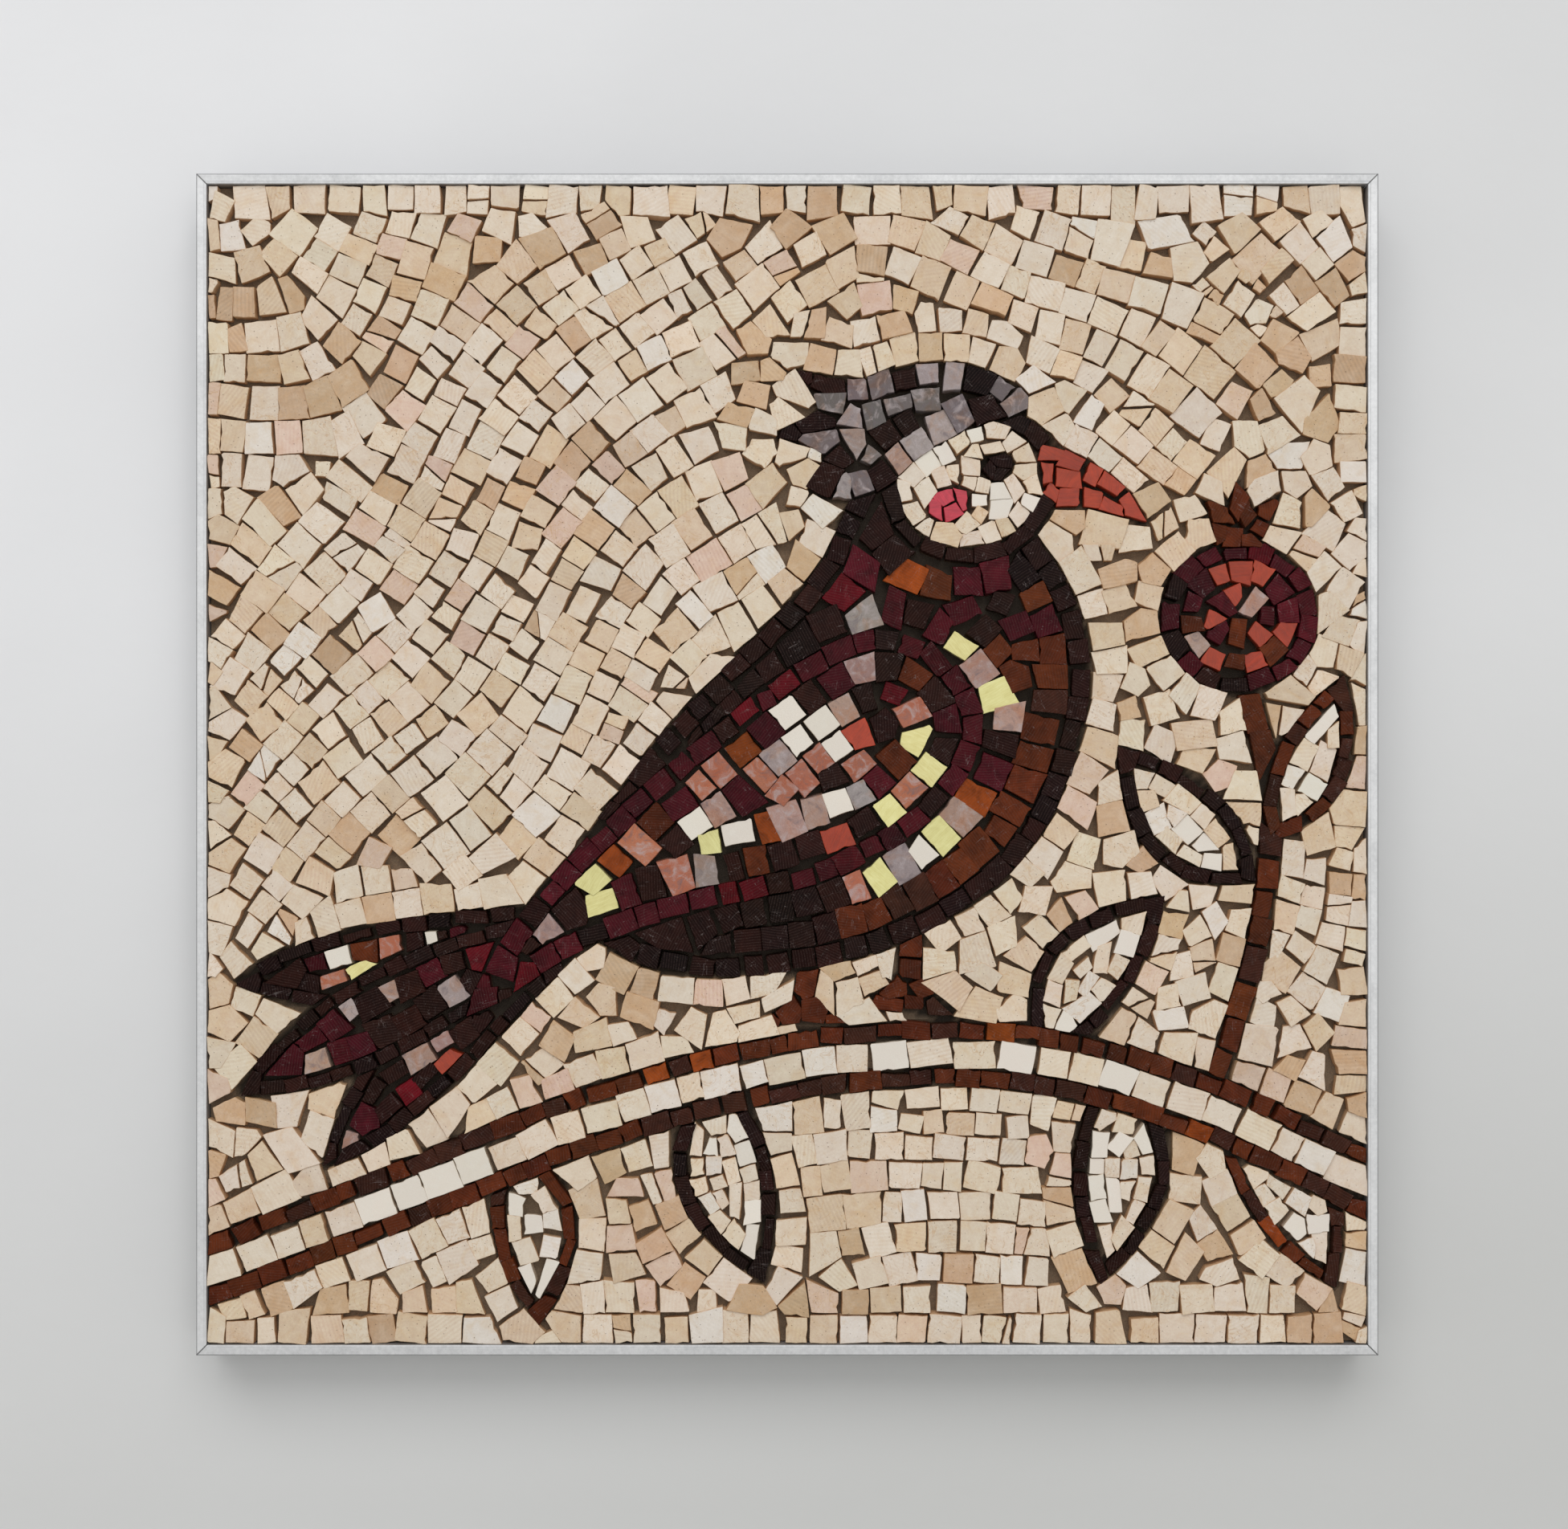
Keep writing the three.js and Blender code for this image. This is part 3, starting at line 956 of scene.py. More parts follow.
def front_share(shade):
    """1 on the faces that lie along the wall, 0 on the sides between them, which the finishes paint
    in shade.
    """
    normal = shade.add("ShaderNodeNewGeometry").outputs["True Normal"]
    facing = shade.math("ABSOLUTE", shade.vector("DOT_PRODUCT", normal, (0.0, -1.0, 0.0)))
    return shade.band(facing, 0.55, 0.95)


def saw_marks(shade, own, spacing):
    """The faint even arcs that a saw leaves."""
    inputs = {"Vector": own, "Scale": ONE_WAVE / spacing, "Distortion": 2.2, "Detail": 3.0,
              "Detail Scale": 0.5}
    wave = shade.add("ShaderNodeTexWave", inputs, wave_type="BANDS", bands_direction="X")
    return wave.outputs["Fac"]


def soiled_foot(shade, at, colour):
    """Mortar smeared a little way up the sides of a stone."""
    height = shade.math("MULTIPLY", shade.axes(at)["Y"], -1.0)
    smear = shade.noise(at, 0.7, 3.0)
    edge = shade.math("ADD", BED + 0.6, shade.math("MULTIPLY", smear, 1.2))
    share = shade.band(shade.math("SUBTRACT", height, edge), -0.3, 0.4, 0.75, 0.0)
    return shade.blend(share, colour, screen(122, 103, 82))


def limestone():
    """Cream stone: clouded and grainy, with fine pits, and veins in some stones."""
    shade = Shading("limestone")
    at, own, tint = stone_ground(shade)
    lot = shade.attribute("lot")
    cloud = shade.noise(own, 0.16, 3.0, 0.6, 0.8)
    grain = shade.noise(own, 1.9, 3.0, 0.6)
    warm = shade.band(cloud, 0.5, 0.72, 0.0, 0.5)
    colour = shade.tinged(warm, tint, (0.93, 0.80, 0.62, 1.0))
    bleached = shade.band(cloud, 0.3, 0.5, 0.2, 0.0)
    colour = shade.blend(bleached, colour, shade.blend(0.5, colour, (0.95, 0.88, 0.76, 1.0)))
    colour = shade.overlaid(0.14, colour, grain)
    vein = shade.hairline(shade.noise(own, 0.12, 3.0, 0.62, 1.6), 0.016, 1.0)
    veined = shade.band(lot, 0.55, 0.6, 0.0, 0.55)
    colour = shade.blend(shade.math("MULTIPLY", vein, veined), colour, (0.50, 0.30, 0.14, 1.0))
    pit = shade.spots(own, 0.62, 0.05, 0.12, 1.0)
    colour = shade.blend(shade.math("MULTIPLY", pit, 0.45), colour, (0.30, 0.20, 0.12, 1.0))
    colour = shade.overlaid(0.16, colour, shade.noise(own, 0.42, 3.0, 0.6, 0.5))
    other_lot = shade.math("FRACT", shade.math("MULTIPLY", lot, 7.0))
    sawn = shade.band(other_lot, 0.6, 1.0, 0.015, 0.07)
    colour = shade.overlaid(sawn, colour, saw_marks(shade, own, 1.3))
    # Painted shade with a warm glow: the sides and the broken edge round the face are coloured a
    # darker warm brown.
    side = shade.blend(0.82, colour, (0.60, 0.36, 0.18, 1.0))
    colour = soiled_foot(shade, at, shade.blend(front_share(shade), side, colour))
    rough = shade.band(grain, 0.3, 0.7, 0.48, 0.66)
    relief = shade.bump(shade.math("SUBTRACT", 1.0, pit), 0.18, shade.bump(grain, 0.10))
    return shade.finish(colour, rough, relief)


def marble():
    """White stone with grey clouds and a fine grain."""
    shade = Shading("white_marble")
    at, own, tint = stone_ground(shade)
    cloud = shade.noise(own, 0.14, 4.0, 0.6, 1.0)
    colour = shade.blend(shade.band(cloud, 0.45, 0.75, 0.0, 0.5), tint, (0.72, 0.68, 0.60, 1.0))
    grain = shade.noise(own, 2.4, 3.0)
    colour = shade.overlaid(0.08, colour, grain)
    # Painted shade: the sides are coloured darker and warmer than the face.
    side = shade.blend(1.0, colour, (0.86, 0.78, 0.68, 1.0), "MULTIPLY")
    colour = soiled_foot(shade, at, shade.blend(front_share(shade), side, colour))
    rough = shade.band(grain, 0.3, 0.7, 0.34, 0.5)
    return shade.finish(colour, rough, shade.bump(grain, 0.05))


def slate():
    """Dark stone: clouded, with worn saw marks lightened partly by a painted sheen, pale specks and
    hairline layers.
    """
    shade = Shading("dark_stone", Specular_IOR_Level=0.05)
    at, own, tint = stone_ground(shade)
    colour = shade.overlaid(0.9, tint, shade.noise(own, 0.2, 3.0, 0.65, 0.6))
    marks = saw_marks(shade, own, 0.9)
    fine = shade.noise(own, 2.8, 3.0, 0.7)
    # Lighter lines along the saw marks: partly real wear and partly a painted sheen.
    worn_lines_and_sheen = shade.math("MULTIPLY", shade.band(marks, 0.5, 1.0), shade.band(fine, 0.4, 0.65))
    pale = shade.blend(0.5, tint, (0.13, 0.085, 0.07, 1.0))
    colour = shade.blend(shade.math("MULTIPLY", worn_lines_and_sheen, 0.5), colour, pale)
    speck = shade.spots(shade.stretched(own, (0.5, 1.0, 1.3)), 0.36, 0.03, 0.07, 0.6)
    colour = shade.blend(speck, colour, (0.22, 0.18, 0.17, 1.0))
    layers = shade.noise(shade.stretched(own, (0.16, 1.0, 1.0)), 0.55, 2.0, 0.5, 0.6)
    layer = shade.hairline(layers, 0.008, 0.4)
    worn = shade.band(shade.noise(own, 0.3, 2.0), 0.48, 0.58)
    colour = shade.blend(shade.math("MULTIPLY", layer, worn), colour, (0.26, 0.22, 0.21, 1.0))
    colour = soiled_foot(shade, at, colour)
    rough = shade.band(fine, 0.3, 0.75, 0.30, 0.5)
    relief = shade.bump(shade.noise(own, 0.5, 3.0), 0.18, shade.bump(marks, 0.03))
    return shade.finish(colour, rough, relief)


def schist():
    """Grey stone with light, dark and rusty patches."""
    shade = Shading("grey_stone", Specular_IOR_Level=0.25)
    at, own, tint = stone_ground(shade)
    cloud = shade.noise(own, 0.2, 3.0, 0.6, 1.2)
    colour = shade.blend(shade.band(cloud, 0.5, 0.68, 0.0, 0.6), tint, (0.42, 0.36, 0.36, 1.0))
    colour = shade.blend(shade.band(cloud, 0.44, 0.3, 0.0, 0.6), colour, (0.14, 0.11, 0.12, 1.0))
    rusty = shade.band(shade.noise(own, 0.13, 3.0, 0.6, 0.8), 0.48, 0.66, 0.0, 0.75)
    colour = shade.tinged(rusty, colour, (1.0, 0.74, 0.55, 1.0))
    grain = shade.noise(own, 2.2, 3.0, 0.7)
    colour = shade.overlaid(0.3, colour, grain)
    colour = soiled_foot(shade, at, colour)
    rough = shade.band(grain, 0.3, 0.7, 0.4, 0.62)
    return shade.finish(colour, rough, shade.bump(grain, 0.08))


def smalti():
    """Glassy pieces in strong colours, faintly streaked and mottled."""
    shade = Shading("opaque_glass", Specular_IOR_Level=0.25)
    at, own, tint = stone_ground(shade)
    streak = shade.noise(shade.stretched(own, (2.6, 1.0, 0.22)), 0.7, 4.0, 0.65, 0.4)
    colour = shade.overlaid(0.45, tint, streak)
    colour = shade.overlaid(0.3, colour, shade.noise(own, 0.24, 3.0, 0.6, 0.8))
    colour = soiled_foot(shade, at, colour)
    rough = shade.band(streak, 0.3, 0.7, 0.26, 0.42)
    return shade.finish(colour, rough, shade.bump(streak, 0.06))


# ------------------------------------------------------------------ finishes of the rest


def mortar():
    """Sandy mortar, much darker between the dark stones, with painted shade in the low places of
    its sand.
    """
    shade = Shading("mortar", Roughness=0.95)
    at = shade.millimetres()
    lumps = shade.noise(at, 0.35, 4.0, 0.6)
    sand = shade.noise(at, 2.6, 4.0, 0.7)
    colour = shade.blend(lumps, screen(106, 88, 70), screen(152, 130, 105))
    # Painted shade: the mortar is darker where its sandy relief is low.
    painted_hollow_shade = shade.blend(0.6, colour, screen(84, 72, 60))
    colour = shade.blend(shade.band(sand, 0.35, 0.7), painted_hollow_shade, colour)
    # Much darker between the dark stones.
    darkened_share = shade.math("MULTIPLY", shade.attribute("dark"), 0.8)
    colour = shade.blend(darkened_share, colour, screen(26, 23, 21))
    return shade.finish(colour, None, shade.bump(sand, 0.25, shade.bump(lumps, 0.6)))


EDGE_SHADE_LINE = (PANEL - 0.46, PANEL - 0.34)  # where the frame's front turns into its rounded edge, painted darker there as shade
MITRE_SHADE_LINE = (0.2, 0.34)  # half the width of the painted shade line at a mitre, and where it is gone


def aluminium(along):
    """Satin bar, with hairline scratches that run along it: along is "X" or "Z"."""
    shade = Shading("aluminium_" + along.lower(), Metallic=0.8)
    at = shade.millimetres()
    # The upright bars are coloured ten steps lighter than the level ones: painted light, for how
    # differently they catch the lamps.
    stretch, lift = {"X": ((0.02, 3.0, 3.0), 0), "Z": ((3.0, 3.0, 0.02), 10)}[along]
    lines = shade.noise(shade.stretched(at, stretch), 1.6, 5.0, 0.7)
    cloud = shade.noise(at, 0.05, 4.0, 0.6)
    scratch = shade.hairline(shade.noise(at, 0.5, 5.0, 0.75, 2.0), 0.008, 1.0)
    colour = shade.blend(lines, screen(*[196 + lift] * 3), screen(*[221 + lift] * 3))
    colour = shade.blend(shade.band(cloud, 0.45, 0.7, 0.0, 0.25), colour, screen(178, 179, 180))
    colour = shade.blend(shade.math("MULTIPLY", scratch, 0.3), colour, screen(236, 236, 236))
    colour = shade.overlaid(0.35, colour, shade.noise(at, 0.9, 3.0, 0.6))
    # Painted shade: the sides of the bar are coloured darker than its front.
    side = shade.blend(0.55, colour, screen(138, 139, 140))
    colour = shade.blend(front_share(shade), side, colour)
    axes = shade.axes(at)
    across, up = (shade.math("ABSOLUTE", axes[axis]) for axis in "XZ")
    # Painted shade along the rounded outer edge of the front.
    rim = shade.band(shade.math("MAXIMUM", across, up), *EDGE_SHADE_LINE, 0.0, 0.45)
    colour = shade.blend(rim, colour, screen(108, 109, 110))
    # A dark line painted along each mitre: painted shade of the slit between the bars.
    from_mitre = shade.math("ABSOLUTE", shade.math("SUBTRACT", across, up))
    colour = shade.blend(shade.band(from_mitre, *MITRE_SHADE_LINE, 0.9, 0.0), colour, screen(34, 32, 30))
    worn = shade.math("MULTIPLY", cloud, 0.12)
    rough = shade.math("ADD", shade.band(lines, 0.3, 0.7, 0.5, 0.62), worn)
    return shade.finish(colour, rough, shade.bump(lines, 0.02))


def fibreboard():
    shade = Shading("fibreboard", Roughness=0.85)
    at = shade.millimetres()
    blotch = shade.noise(at, 0.03, 5.0, 0.6)
    fibres = shade.noise(at, 1.4, 5.0, 0.75, 1.5)
    colour = shade.blend(blotch, screen(158, 134, 102), screen(196, 172, 138))
    colour = shade.blend(shade.band(fibres, 0.4, 0.7, 0.0, 0.5), colour, screen(126, 102, 74))
    return shade.finish(colour, None, shade.bump(fibres, 0.12))


# ------------------------------------------------------------------ cutting the stones as solids

ARRIS = 0.14  # width of the broken edge round a stone's face
ARRIS_HEIGHT = 0.8  # its height as a share of its width
STONE_SIZES = {
    "Height": (FACE - BED + STONE_FOOT - ARRIS_HEIGHT * ARRIS) * MM,
    "Arris": ARRIS * MM,
    "Splay": 0.12 * MM,
    "Unevenness": 1.0,
}


def cut_stone_tree(finishes):
    """Turns flat outlines of the stones into closed, splayed, broken-edged stones."""
    tree = bpy.data.node_groups.new("cut_stones", "GeometryNodeTree")
    tree.interface.new_socket("Geometry", in_out="INPUT", socket_type="NodeSocketGeometry")
    for name in STONE_SIZES:
        tree.interface.new_socket(name, in_out="INPUT", socket_type="NodeSocketFloat")
    tree.interface.new_socket("Geometry", in_out="OUTPUT", socket_type="NodeSocketGeometry")

    def add(kind, inputs=(), **settings):
        node = tree.nodes.new(kind if kind.startswith("Shader") else "GeometryNode" + kind)
        for key, value in settings.items():
            setattr(node, key, value)
        for key, value in dict(inputs).items():
            if isinstance(value, bpy.types.NodeSocket):
                tree.links.new(value, node.inputs[key])
            else:
                node.inputs[key].default_value = value
        return node

    def named(name, kind):
        return add("InputNamedAttribute", {"Name": name}, data_type=kind).outputs[0]

    def scaled(vector, factor):
        node = add("ShaderNodeVectorMath", {0: vector, "Scale": factor}, operation="SCALE")
        return node.outputs["Vector"]

    def summed(one, other):
        node = add("ShaderNodeVectorMath", {0: one, 1: other}, operation="ADD")
        return node.outputs["Vector"]

    def product(one, other):
        return add("ShaderNodeMath", {0: one, 1: other}, operation="MULTIPLY").outputs[0]

    def moved(mesh, offset, selection=None):
        inputs = {"Geometry": mesh, "Offset": offset}
        if selection is not None:
            inputs["Selection"] = selection
        return add("SetPosition", inputs).outputs[0]

    group = tree.nodes.new("NodeGroupInput").outputs
    inward = named("inward", "FLOAT_VECTOR")
    spread = summed(scaled(inward, group["Splay"]), named("lean", "FLOAT_VECTOR"))
    foot = moved(group["Geometry"], scaled(spread, -1.0))
    block = add("ExtrudeMesh", {"Mesh": foot, "Offset Scale": group["Height"], "Individual": True})
    lift = scaled(named("rise", "FLOAT_VECTOR"), group["Unevenness"])
    block_mesh = moved(block.outputs["Mesh"], summed(spread, lift), block.outputs["Top"])
    cap = add("ExtrudeMesh", {
        "Mesh": block_mesh, "Selection": block.outputs["Top"],
        "Offset Scale": product(group["Arris"], ARRIS_HEIGHT), "Individual": True})
    bite = product(group["Arris"], named("bite", "FLOAT"))
    cap_mesh = moved(cap.outputs["Mesh"], scaled(inward, bite), cap.outputs["Top"])
    under = add("FlipFaces", {"Mesh": foot}).outputs[0]
    join = tree.nodes.new("GeometryNodeJoinGeometry")
    for part in (under, cap_mesh):
        tree.links.new(part, join.inputs[0])
    shell = add("MergeByDistance", {"Geometry": join.outputs[0], "Distance": 1e-7}).outputs[0]
    shell = add("SetShadeSmooth", {"Geometry": shell, "Shade Smooth": False}).outputs[0]
    shell = add("RealizeInstances", {"Geometry": shell}).outputs[0]
    kind = named("kind", "INT")
    for number, finish in enumerate(finishes):
        compare = {0: kind, 1: float(number), 2: 0.1}
        same = add("ShaderNodeMath", compare, operation="COMPARE").outputs[0]
        dressed = {"Geometry": shell, "Selection": same, "Material": finish}
        shell = add("SetMaterial", dressed).outputs[0]
    out = tree.nodes.new("NodeGroupOutput")
    tree.links.new(shell, out.inputs[0])
    return tree


def put_in_scene(name, made):
    """A new object of a mesh, a light or a camera."""
    thing = bpy.data.objects.new(name, made)
    bpy.context.scene.collection.objects.link(thing)
    return thing


def mesh_object(name, points, faces):
    mesh = bpy.data.meshes.new(name)
    mesh.from_pydata(points, [], faces)
    mesh.update()
    return put_in_scene(name, mesh)


def give(mesh, name, kind, domain, values, field="value"):
    """Sets an attribute of a mesh."""
    number = np.int32 if kind == "INT" else np.float32
    layer = mesh.attributes.new(name, kind, domain)
    layer.data.foreach_set(field, np.asarray(values, number).ravel())


def inward_steps(corners):
    """For each corner, the move that draws both of its sides in by one."""
    normals = inward_from_sides(corners)
    middle = normals + np.roll(normals, 1, 0)
    middle /= np.maximum(np.hypot(*middle.T), 1e-9)[:, None]
    lean = np.maximum((middle * normals).sum(1), 0.7)
    return middle / lean[:, None]


HUE_SHARE = 0.25  # how far a stone's hue varies, as a share of how far its lightness does
DARKEST, LIGHTEST = 0.002, 0.95


def colour_of(stone):
    """The kind of a stone and its own colour."""
    names = list(stone.mix)
    weights = np.array([stone.mix[n] for n in names], float)
    kind, colour, spread = TINTS[names[rng.choice(len(names), p=weights / weights.sum())]]
    shift = 1 + rng.normal(0, spread) + rng.normal(0, HUE_SHARE * spread, 3)
    tint = np.array(screen(*colour)[:3]) * shift
    return KINDS.index(kind), np.clip(tint, DARKEST, LIGHTEST)


BITE = (0.5, 1.5)  # least and greatest width of the broken edge at a corner, in arrises
SLOPE = 0.03  # how steeply faces slope
LEVEL, LEVEL_SPREAD = -0.15, 0.3  # how high the middle of a face is, against the solid's
LEVEL_ENDS = (-0.8, 0.35)  # the lowest and the highest middle
CORNER_ENDS = (-1.1, 0.45)  # the lowest and the highest corner
LEAN, MOST_LEAN = 0.32, 0.8  # how far a stone leans to a side
SAW_TURN = 0.5  # how far saw marks are turned off a stone's own sides, in radians


def stone_piece(name, group, tree):
    """One mesh of finished stones."""
    points, faces, inward, bite, rise, lean = [], [], [], [], [], []
    kinds, tints, lots, saws = [], [], [], []
    for stone in group:
        corners = stone.corners
        faces.append(range(len(points), len(points) + len(corners)))
        points += [place(x, y, BED - STONE_FOOT) for x, y in corners]
        inward += [(x, 0.0, y) for x, y in inward_steps(corners)]
        bite += list(rng.uniform(*BITE, len(corners)))
        slope = rng.normal(0, SLOPE, 2)
        level = np.clip(rng.normal(LEVEL, LEVEL_SPREAD), *LEVEL_ENDS)
        rises = level + (corners - corners.mean(0)) @ slope
        rise += [(0.0, -r * MM, 0.0) for r in np.clip(rises, *CORNER_ENDS)]
        side, up = np.clip(rng.normal(0, LEAN, 2), -MOST_LEAN, MOST_LEAN)
        lean += [(side * MM, 0.0, up * MM)] * len(corners)
        kind, tint = colour_of(stone)
        kinds.append(kind)
        tints.append([*tint, 1.0])
        lots.append(rng.random())
        saws.append(stone.angle + rng.normal(0, SAW_TURN) + rng.integers(2) * math.pi / 2)
    flat = mesh_object(name + "_flat", points, faces)
    give(flat.data, "inward", "FLOAT_VECTOR", "POINT", inward, "vector")
    give(flat.data, "bite", "FLOAT", "POINT", bite)
    give(flat.data, "rise", "FLOAT_VECTOR", "POINT", rise, "vector")
    give(flat.data, "lean", "FLOAT_VECTOR", "POINT", lean, "vector")
    give(flat.data, "kind", "INT", "FACE", kinds)
    give(flat.data, "tint", "FLOAT_COLOR", "FACE", tints, "color")
    give(flat.data, "lot", "FLOAT", "FACE", lots)
    give(flat.data, "saw", "FLOAT", "FACE", saws)
    return grown(flat, name, tree)


def grown(source, name, tree):
    """The plain mesh that the stones' tree makes of an object, which is then removed."""
    modifier = source.modifiers.new("tree", "NODES")
    modifier.node_group = tree
    for item in tree.interface.items_tree:
        if item.in_out == "INPUT" and item.name in STONE_SIZES:
            modifier[item.identifier] = STONE_SIZES[item.name]
    bpy.context.view_layer.update()
    ready = source.evaluated_get(bpy.context.evaluated_depsgraph_get())
    mesh = bpy.data.meshes.new_from_object(ready)
    mesh.name = name
    bpy.data.objects.remove(source)
    return put_in_scene(name, mesh)


# Each piece of stonework: its slot in the record, and its areas.
STONEWORK = {
    "ground_stones": ("cream_limestone", r"ground"),
    "bird_outline_stones": ("umber_stone", r"(body|wing|face)_outline"),
    "wing_stones": ("maroon_stone", r"wing_fill"),
    "body_stones": ("chestnut_stone", r"body_fill"),
    "crown_stones": ("lilac_stone", r"crown"),
    "face_stones": ("white_marble", r"face_fill"),
    "eye_stones": ("umber_stone", r"eye"),
    "cheek_stones": ("rose_stone", r"cheek"),
    "beak_stones": ("vermilion_stone", r"beak"),
    "leg_stones": ("chestnut_stone", r"leg_(front|back)"),
    "tail_stones": ("maroon_stone", r"feather_\d_fill"),
    "tail_outline_stones": ("umber_stone", r"feather_\d_outline"),
    "branch_stones": ("white_marble", r"branch_fill"),
    "branch_outline_stones": ("umber_stone", r"branch_outline"),
    "leaf_stones": ("white_marble", r"leaf_\d_fill"),
    "leaf_outline_stones": ("umber_stone", r"leaf_\d_outline"),
    "stem_stones": ("chestnut_stone", r"stem"),
    "fruit_stones": ("vermilion_stone", r"fruit_fill"),
    "fruit_outline_stones": ("maroon_stone", r"fruit_outline"),
    "fruit_crown_stones": ("chestnut_stone", r"fruit_crown"),
}


def make_stonework():
    """All the stones, in one piece for each part of the picture."""
    lay_mosaic()
    tree = cut_stone_tree([limestone(), marble(), slate(), schist(), smalti()])
    for name, (slot, pattern) in STONEWORK.items():
        wanted = {number for number, area in enumerate(AREAS) if re.fullmatch(pattern, area)}
        piece = stone_piece(name, [s for s in stones if s.zone in wanted], tree)
        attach(piece, "root")
        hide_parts(*[n for n in NODES if re.fullmatch(pattern, area_of(n))])


# ------------------------------------------------------------------ bed, board and frame

BED_STEPS = 190  # how many steps of the bed's surface there are along a side
PALE_LEVEL = 1.3  # how high the mortar is squeezed up between pale stones
DARK_LEVEL = -0.2  # and between dark ones, where it is raked out
LUMPS = 0.8  # how strongly its surface swells


def lump(x, y):
    """How uneven the bed is at a point: slow swells with shorter ones on them."""
    swell = noise.noise(Vector((x / 9, y / 9, 0.4)))
    return swell + 0.6 * noise.noise(Vector((x / 3, y / 3, 5)))


def make_mortar():
    """The bed as it was trowelled: a closed slab with an uneven, grainy front."""
    count = BED_STEPS
    line = np.linspace(-HALF, HALF, count + 1)
    points, faces, dark = [], [], []
    for y in line:
        for x in line:
            cell = tuple(np.clip([int((v + HALF) / CELL) for v in (y, x)], 0, CELLS - 1))
            dark.append(AREAS[ZONE[cell]] not in PALE_AREAS)
            level = DARK_LEVEL if dark[-1] else PALE_LEVEL
            points.append(place(x, y, BED + level + LUMPS * lump(x, y)))
    for j in range(count):
        for i in range(count):
            a = j * (count + 1) + i
            faces.append((a, a + 1, a + count + 2, a + count + 1))
    rim = list(range(count))
    rim += [j * (count + 1) + count for j in range(count)]
    rim += [count * (count + 1) + i for i in range(count, 0, -1)]
    rim += [j * (count + 1) for j in range(count, 0, -1)]
    start = len(points)
    points += [(points[i][0], -BOARD * MM, points[i][2]) for i in rim]
    back = list(range(start, start + len(rim)))
    for k in range(len(rim)):
        n = (k + 1) % len(rim)
        faces.append((rim[n], rim[k], back[k], back[n]))
    faces.append(back[::-1])
    bed = mesh_object("mortar", points, faces)
    give(bed.data, "dark", "FLOAT", "POINT", dark + [0.0] * len(rim))
    bed.data.materials.append(mortar())
    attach(bed, "root")
    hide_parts("mortar_bed")


# The corners of the bar's section: how far in from the outer edge, height, where its rounding
# starts in degrees, and the rounding's radius.
BAR_CORNERS = ((BAR, RIM, 0, 0.45), (0, RIM, 90, 0.35), (0, 0, 180, 0.3), (BAR, 0, 270, 0.3))
ROUNDING_STEPS = 4
GROOVE = ((0.8, 0.0), (0.9, 0.06), (1.0, 0.0))  # how far from the bar's inner side, and depth
MITRE_GAP = 0.02  # how far each end stays back from its mitre


def bar_section():
    """The bar's section, anticlockwise: how far in from the outer edge, and height."""
    loop = []
    for u, w, start, radius in BAR_CORNERS:
        centre_u = u - radius if u else radius
        centre_w = w - radius if w else radius
        for step in range(ROUNDING_STEPS + 1):
            turn = math.radians(start + 90 * step / ROUNDING_STEPS)
            loop.append((centre_u + radius * math.cos(turn), centre_w + radius * math.sin(turn)))
        if start == 0:
            loop += [(BAR - inset, RIM - depth) for inset, depth in GROOVE]
    return loop


def make_rails():
    """Four lengths of bar, mitred with a hairline gap at the corners."""
    section = bar_section()
    finishes = (aluminium("X"), aluminium("Z"))
    for quarter, side in enumerate(("bottom", "right", "top", "left")):
        turn = quarter * math.pi / 2
        points, faces = [], []
        for end in (-1, 1):
            for u, w in section:
                x, y = end * (PANEL - u - MITRE_GAP * math.sqrt(2)), -PANEL + u
                points.append(place(x * math.cos(turn) - y * math.sin(turn),
                                    x * math.sin(turn) + y * math.cos(turn), w))
        count = len(section)
        for k in range(count):
            n = (k + 1) % count
            faces.append((k, n, count + n, count + k))
        faces += [tuple(range(count))[::-1], tuple(range(count, 2 * count))]
        rail = mesh_object("rail_" + side, points, faces)
        rail.data.materials.append(finishes[quarter % 2])
        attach(rail, "root")
        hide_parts("frame_rail_" + side)


def finish_board():
    """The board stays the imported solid, with a finish of its own."""
    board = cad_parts["backing_board"]
    board.data.materials.clear()
    board.data.materials.append(fibreboard())


# ------------------------------------------------------------------ stage, light and camera


def plaster():
    """The wall's paint, with painted shade that makes it a little darker low down and to the right.

    From behind it isn't there, so that the back of the panel can be seen.
    """
    shade = Shading("plaster", Roughness=0.9)
    at = shade.millimetres()
    cloud = shade.band(shade.noise(at, 0.006, 2.0, 0.55), 0.35, 0.65)
    colour = shade.blend(cloud, screen(225, 225, 226), screen(231, 231, 232))
    axes = shade.axes(at)
    # Painted shade: the lamps' fall-off, darker low down and to the right.
    low = shade.band(axes["Z"], 60.0, -260.0)
    right = shade.band(axes["X"], -200.0, 260.0)
    painted_falloff = shade.math("ADD", shade.math("MULTIPLY", low, 0.81), shade.math("MULTIPLY", right, 0.41))
    colour = shade.blend(painted_falloff, colour, screen(200, 200, 198))
    shade.finish(colour, None, shade.bump(shade.noise(at, 0.02, 4.0), 0.6))
    clear = shade.add("ShaderNodeBsdfTransparent").outputs[0]
    behind = shade.add("ShaderNodeNewGeometry").outputs["Backfacing"]
    either = shade.add("ShaderNodeMixShader", {0: behind, 1: shade.shader.outputs[0], 2: clear})
    shade.tree.links.new(either.outputs[0], shade.tree.nodes["Material Output"].inputs["Surface"])
    return shade.material


STAGE = 3.0  # how far the wall and the floor reach, in metres
FLOOR = -0.46  # the floor's height under the panel's middle
WALL_GAP = 0.0008  # between the panel's back and the wall


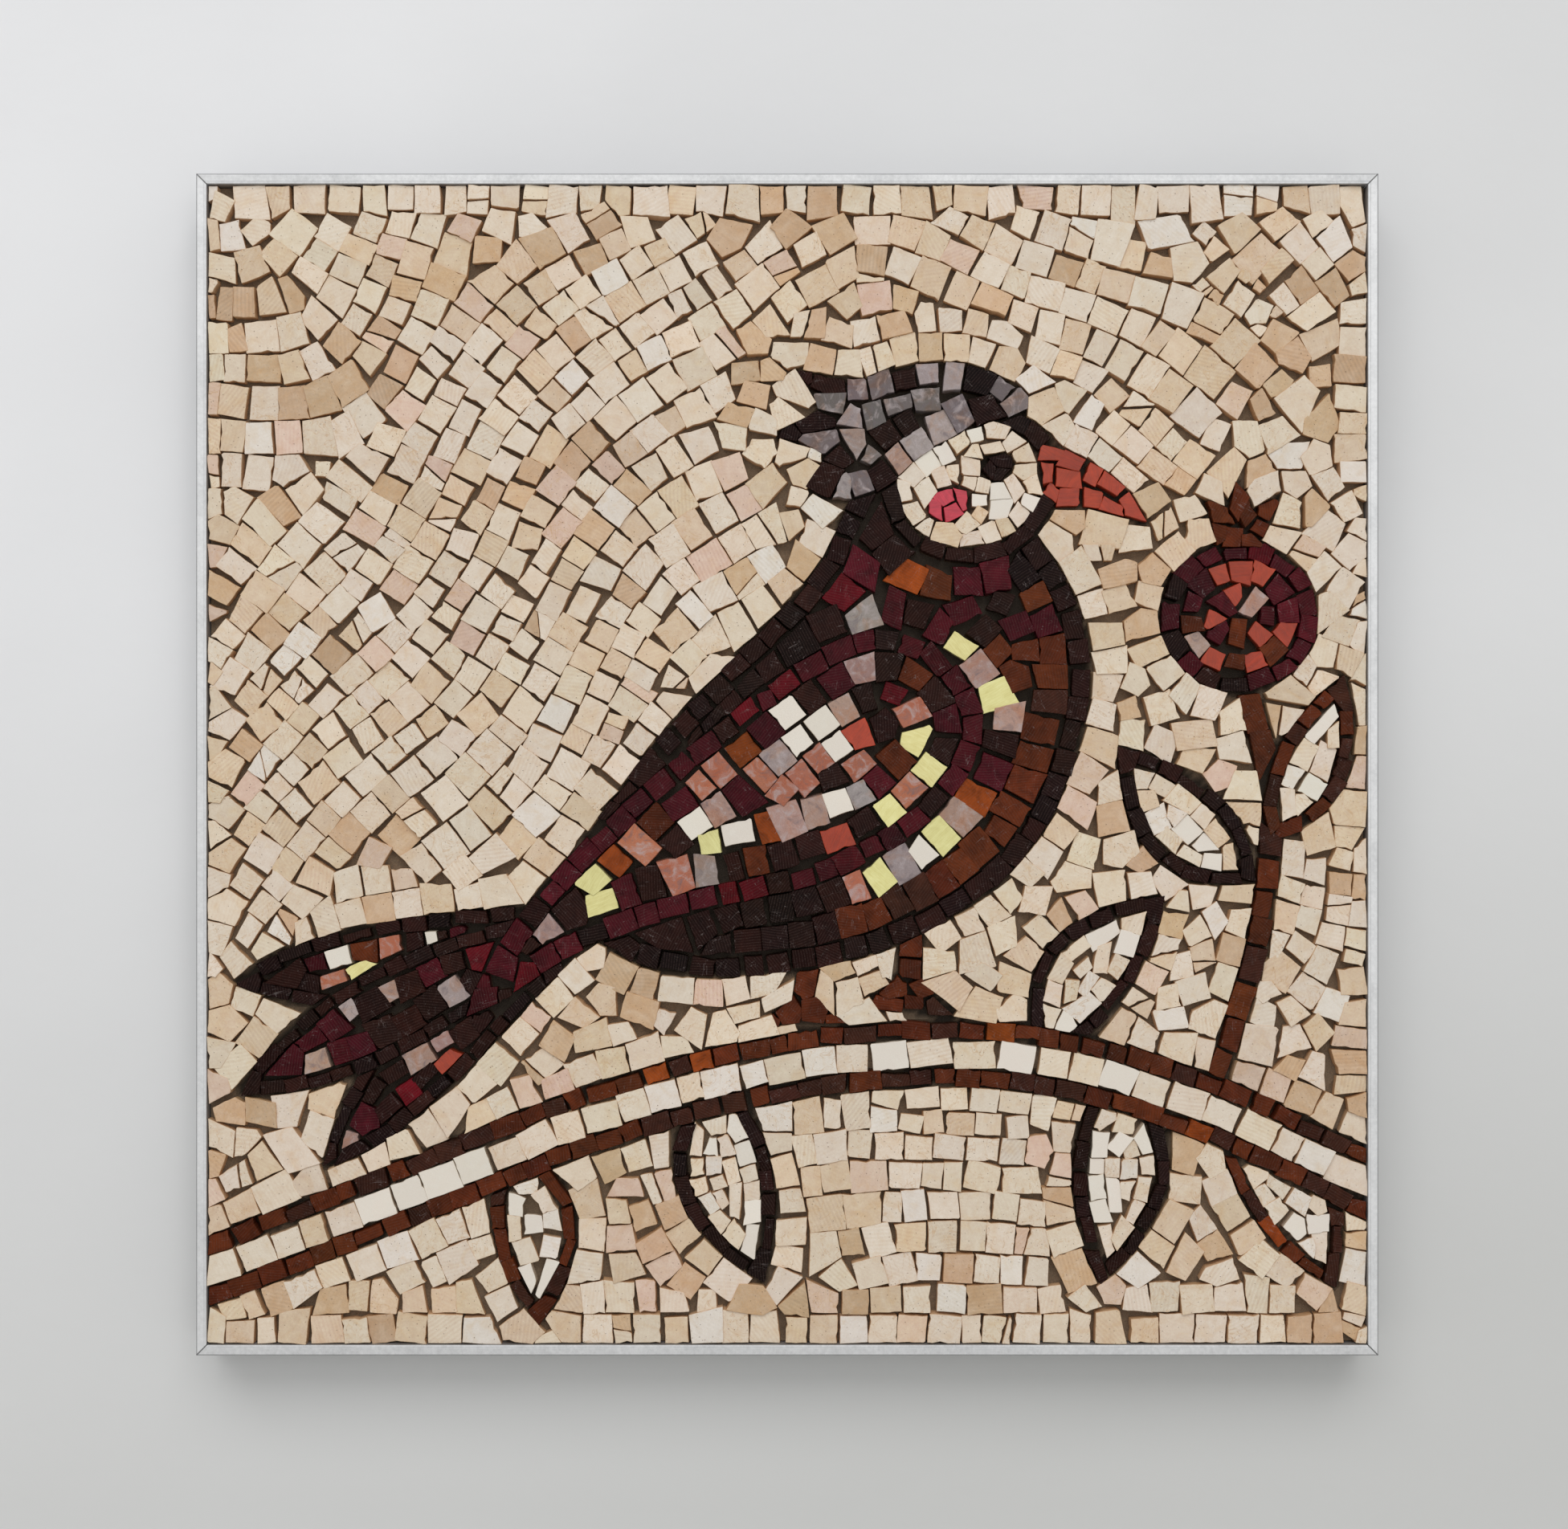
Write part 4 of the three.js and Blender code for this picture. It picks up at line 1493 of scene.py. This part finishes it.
def make_stage():
    """A wall behind the panel and a floor below it."""
    wall = mesh_object("stage_wall", [
        (-STAGE, WALL_GAP, FLOOR), (STAGE, WALL_GAP, FLOOR),
        (STAGE, WALL_GAP, STAGE), (-STAGE, WALL_GAP, STAGE)], [(0, 1, 2, 3)])
    wall.data.materials.append(plaster())
    wall.visible_shadow = False
    wall.visible_diffuse = False
    floor = mesh_object("stage_floor", [
        (-STAGE, -STAGE, FLOOR), (STAGE, -STAGE, FLOOR),
        (STAGE, STAGE, FLOOR), (-STAGE, STAGE, FLOOR)], [(0, 1, 2, 3)])
    shade = Shading("floor", Roughness=0.85, Base_Color=screen(216, 215, 212))
    floor.data.materials.append(shade.material)


DAYLIGHT = (0.96, 0.98, 1.0, 1.0)
DAYLIGHT_STRENGTH = 0.45
# Soft lamps that shine at the panel's middle: place and size in metres, and power in watts.
LAMPS = {
    "key": ((-0.35, -4.4, 4.1), (6.5, 3.6), 190.0),
    "fill": ((0.5, -4.5, 0.3), (3.0, 3.0), 45.0),
}


def make_lights():
    """Even daylight, a large soft lamp high up in front and a weaker one at the panel's height."""
    world = bpy.data.worlds.new("studio")
    world.use_nodes = True
    background = world.node_tree.nodes["Background"].inputs
    background["Color"].default_value = DAYLIGHT
    background["Strength"].default_value = DAYLIGHT_STRENGTH
    bpy.context.scene.world = world
    for name, (at, (width, height), power) in LAMPS.items():
        light = bpy.data.lights.new(name, "AREA")
        light.shape = "RECTANGLE"
        light.size = width
        light.size_y = height
        light.energy = power
        lamp = put_in_scene(name, light)
        lamp.location = at
        lamp.rotation_euler = (-Vector(at)).to_track_quat("-Z", "Y").to_euler()


FOCAL_LENGTH = 55.7
SENSOR = 36.0  # its width
CAMERA_AWAY = 0.82  # metres from the frame's front
CAMERA_ASIDE = -0.0011  # metres to the right of the panel's middle


def make_camera():
    """Straight in front of the panel."""
    lens = bpy.data.cameras.new("camera")
    lens.sensor_width = SENSOR
    lens.lens = FOCAL_LENGTH
    camera = put_in_scene("camera", lens)
    camera.location = (CAMERA_ASIDE, -RIM * MM - CAMERA_AWAY, 0.0)
    camera.rotation_euler = (math.pi / 2, 0.0, 0.0)
    bpy.context.scene.camera = camera


# ------------------------------------------------------------------ the whole scene

make_camera()
make_stage()
make_lights()
make_stonework()
make_mortar()
make_rails()
finish_board()
bpy.context.scene.view_settings.view_transform = "Standard"
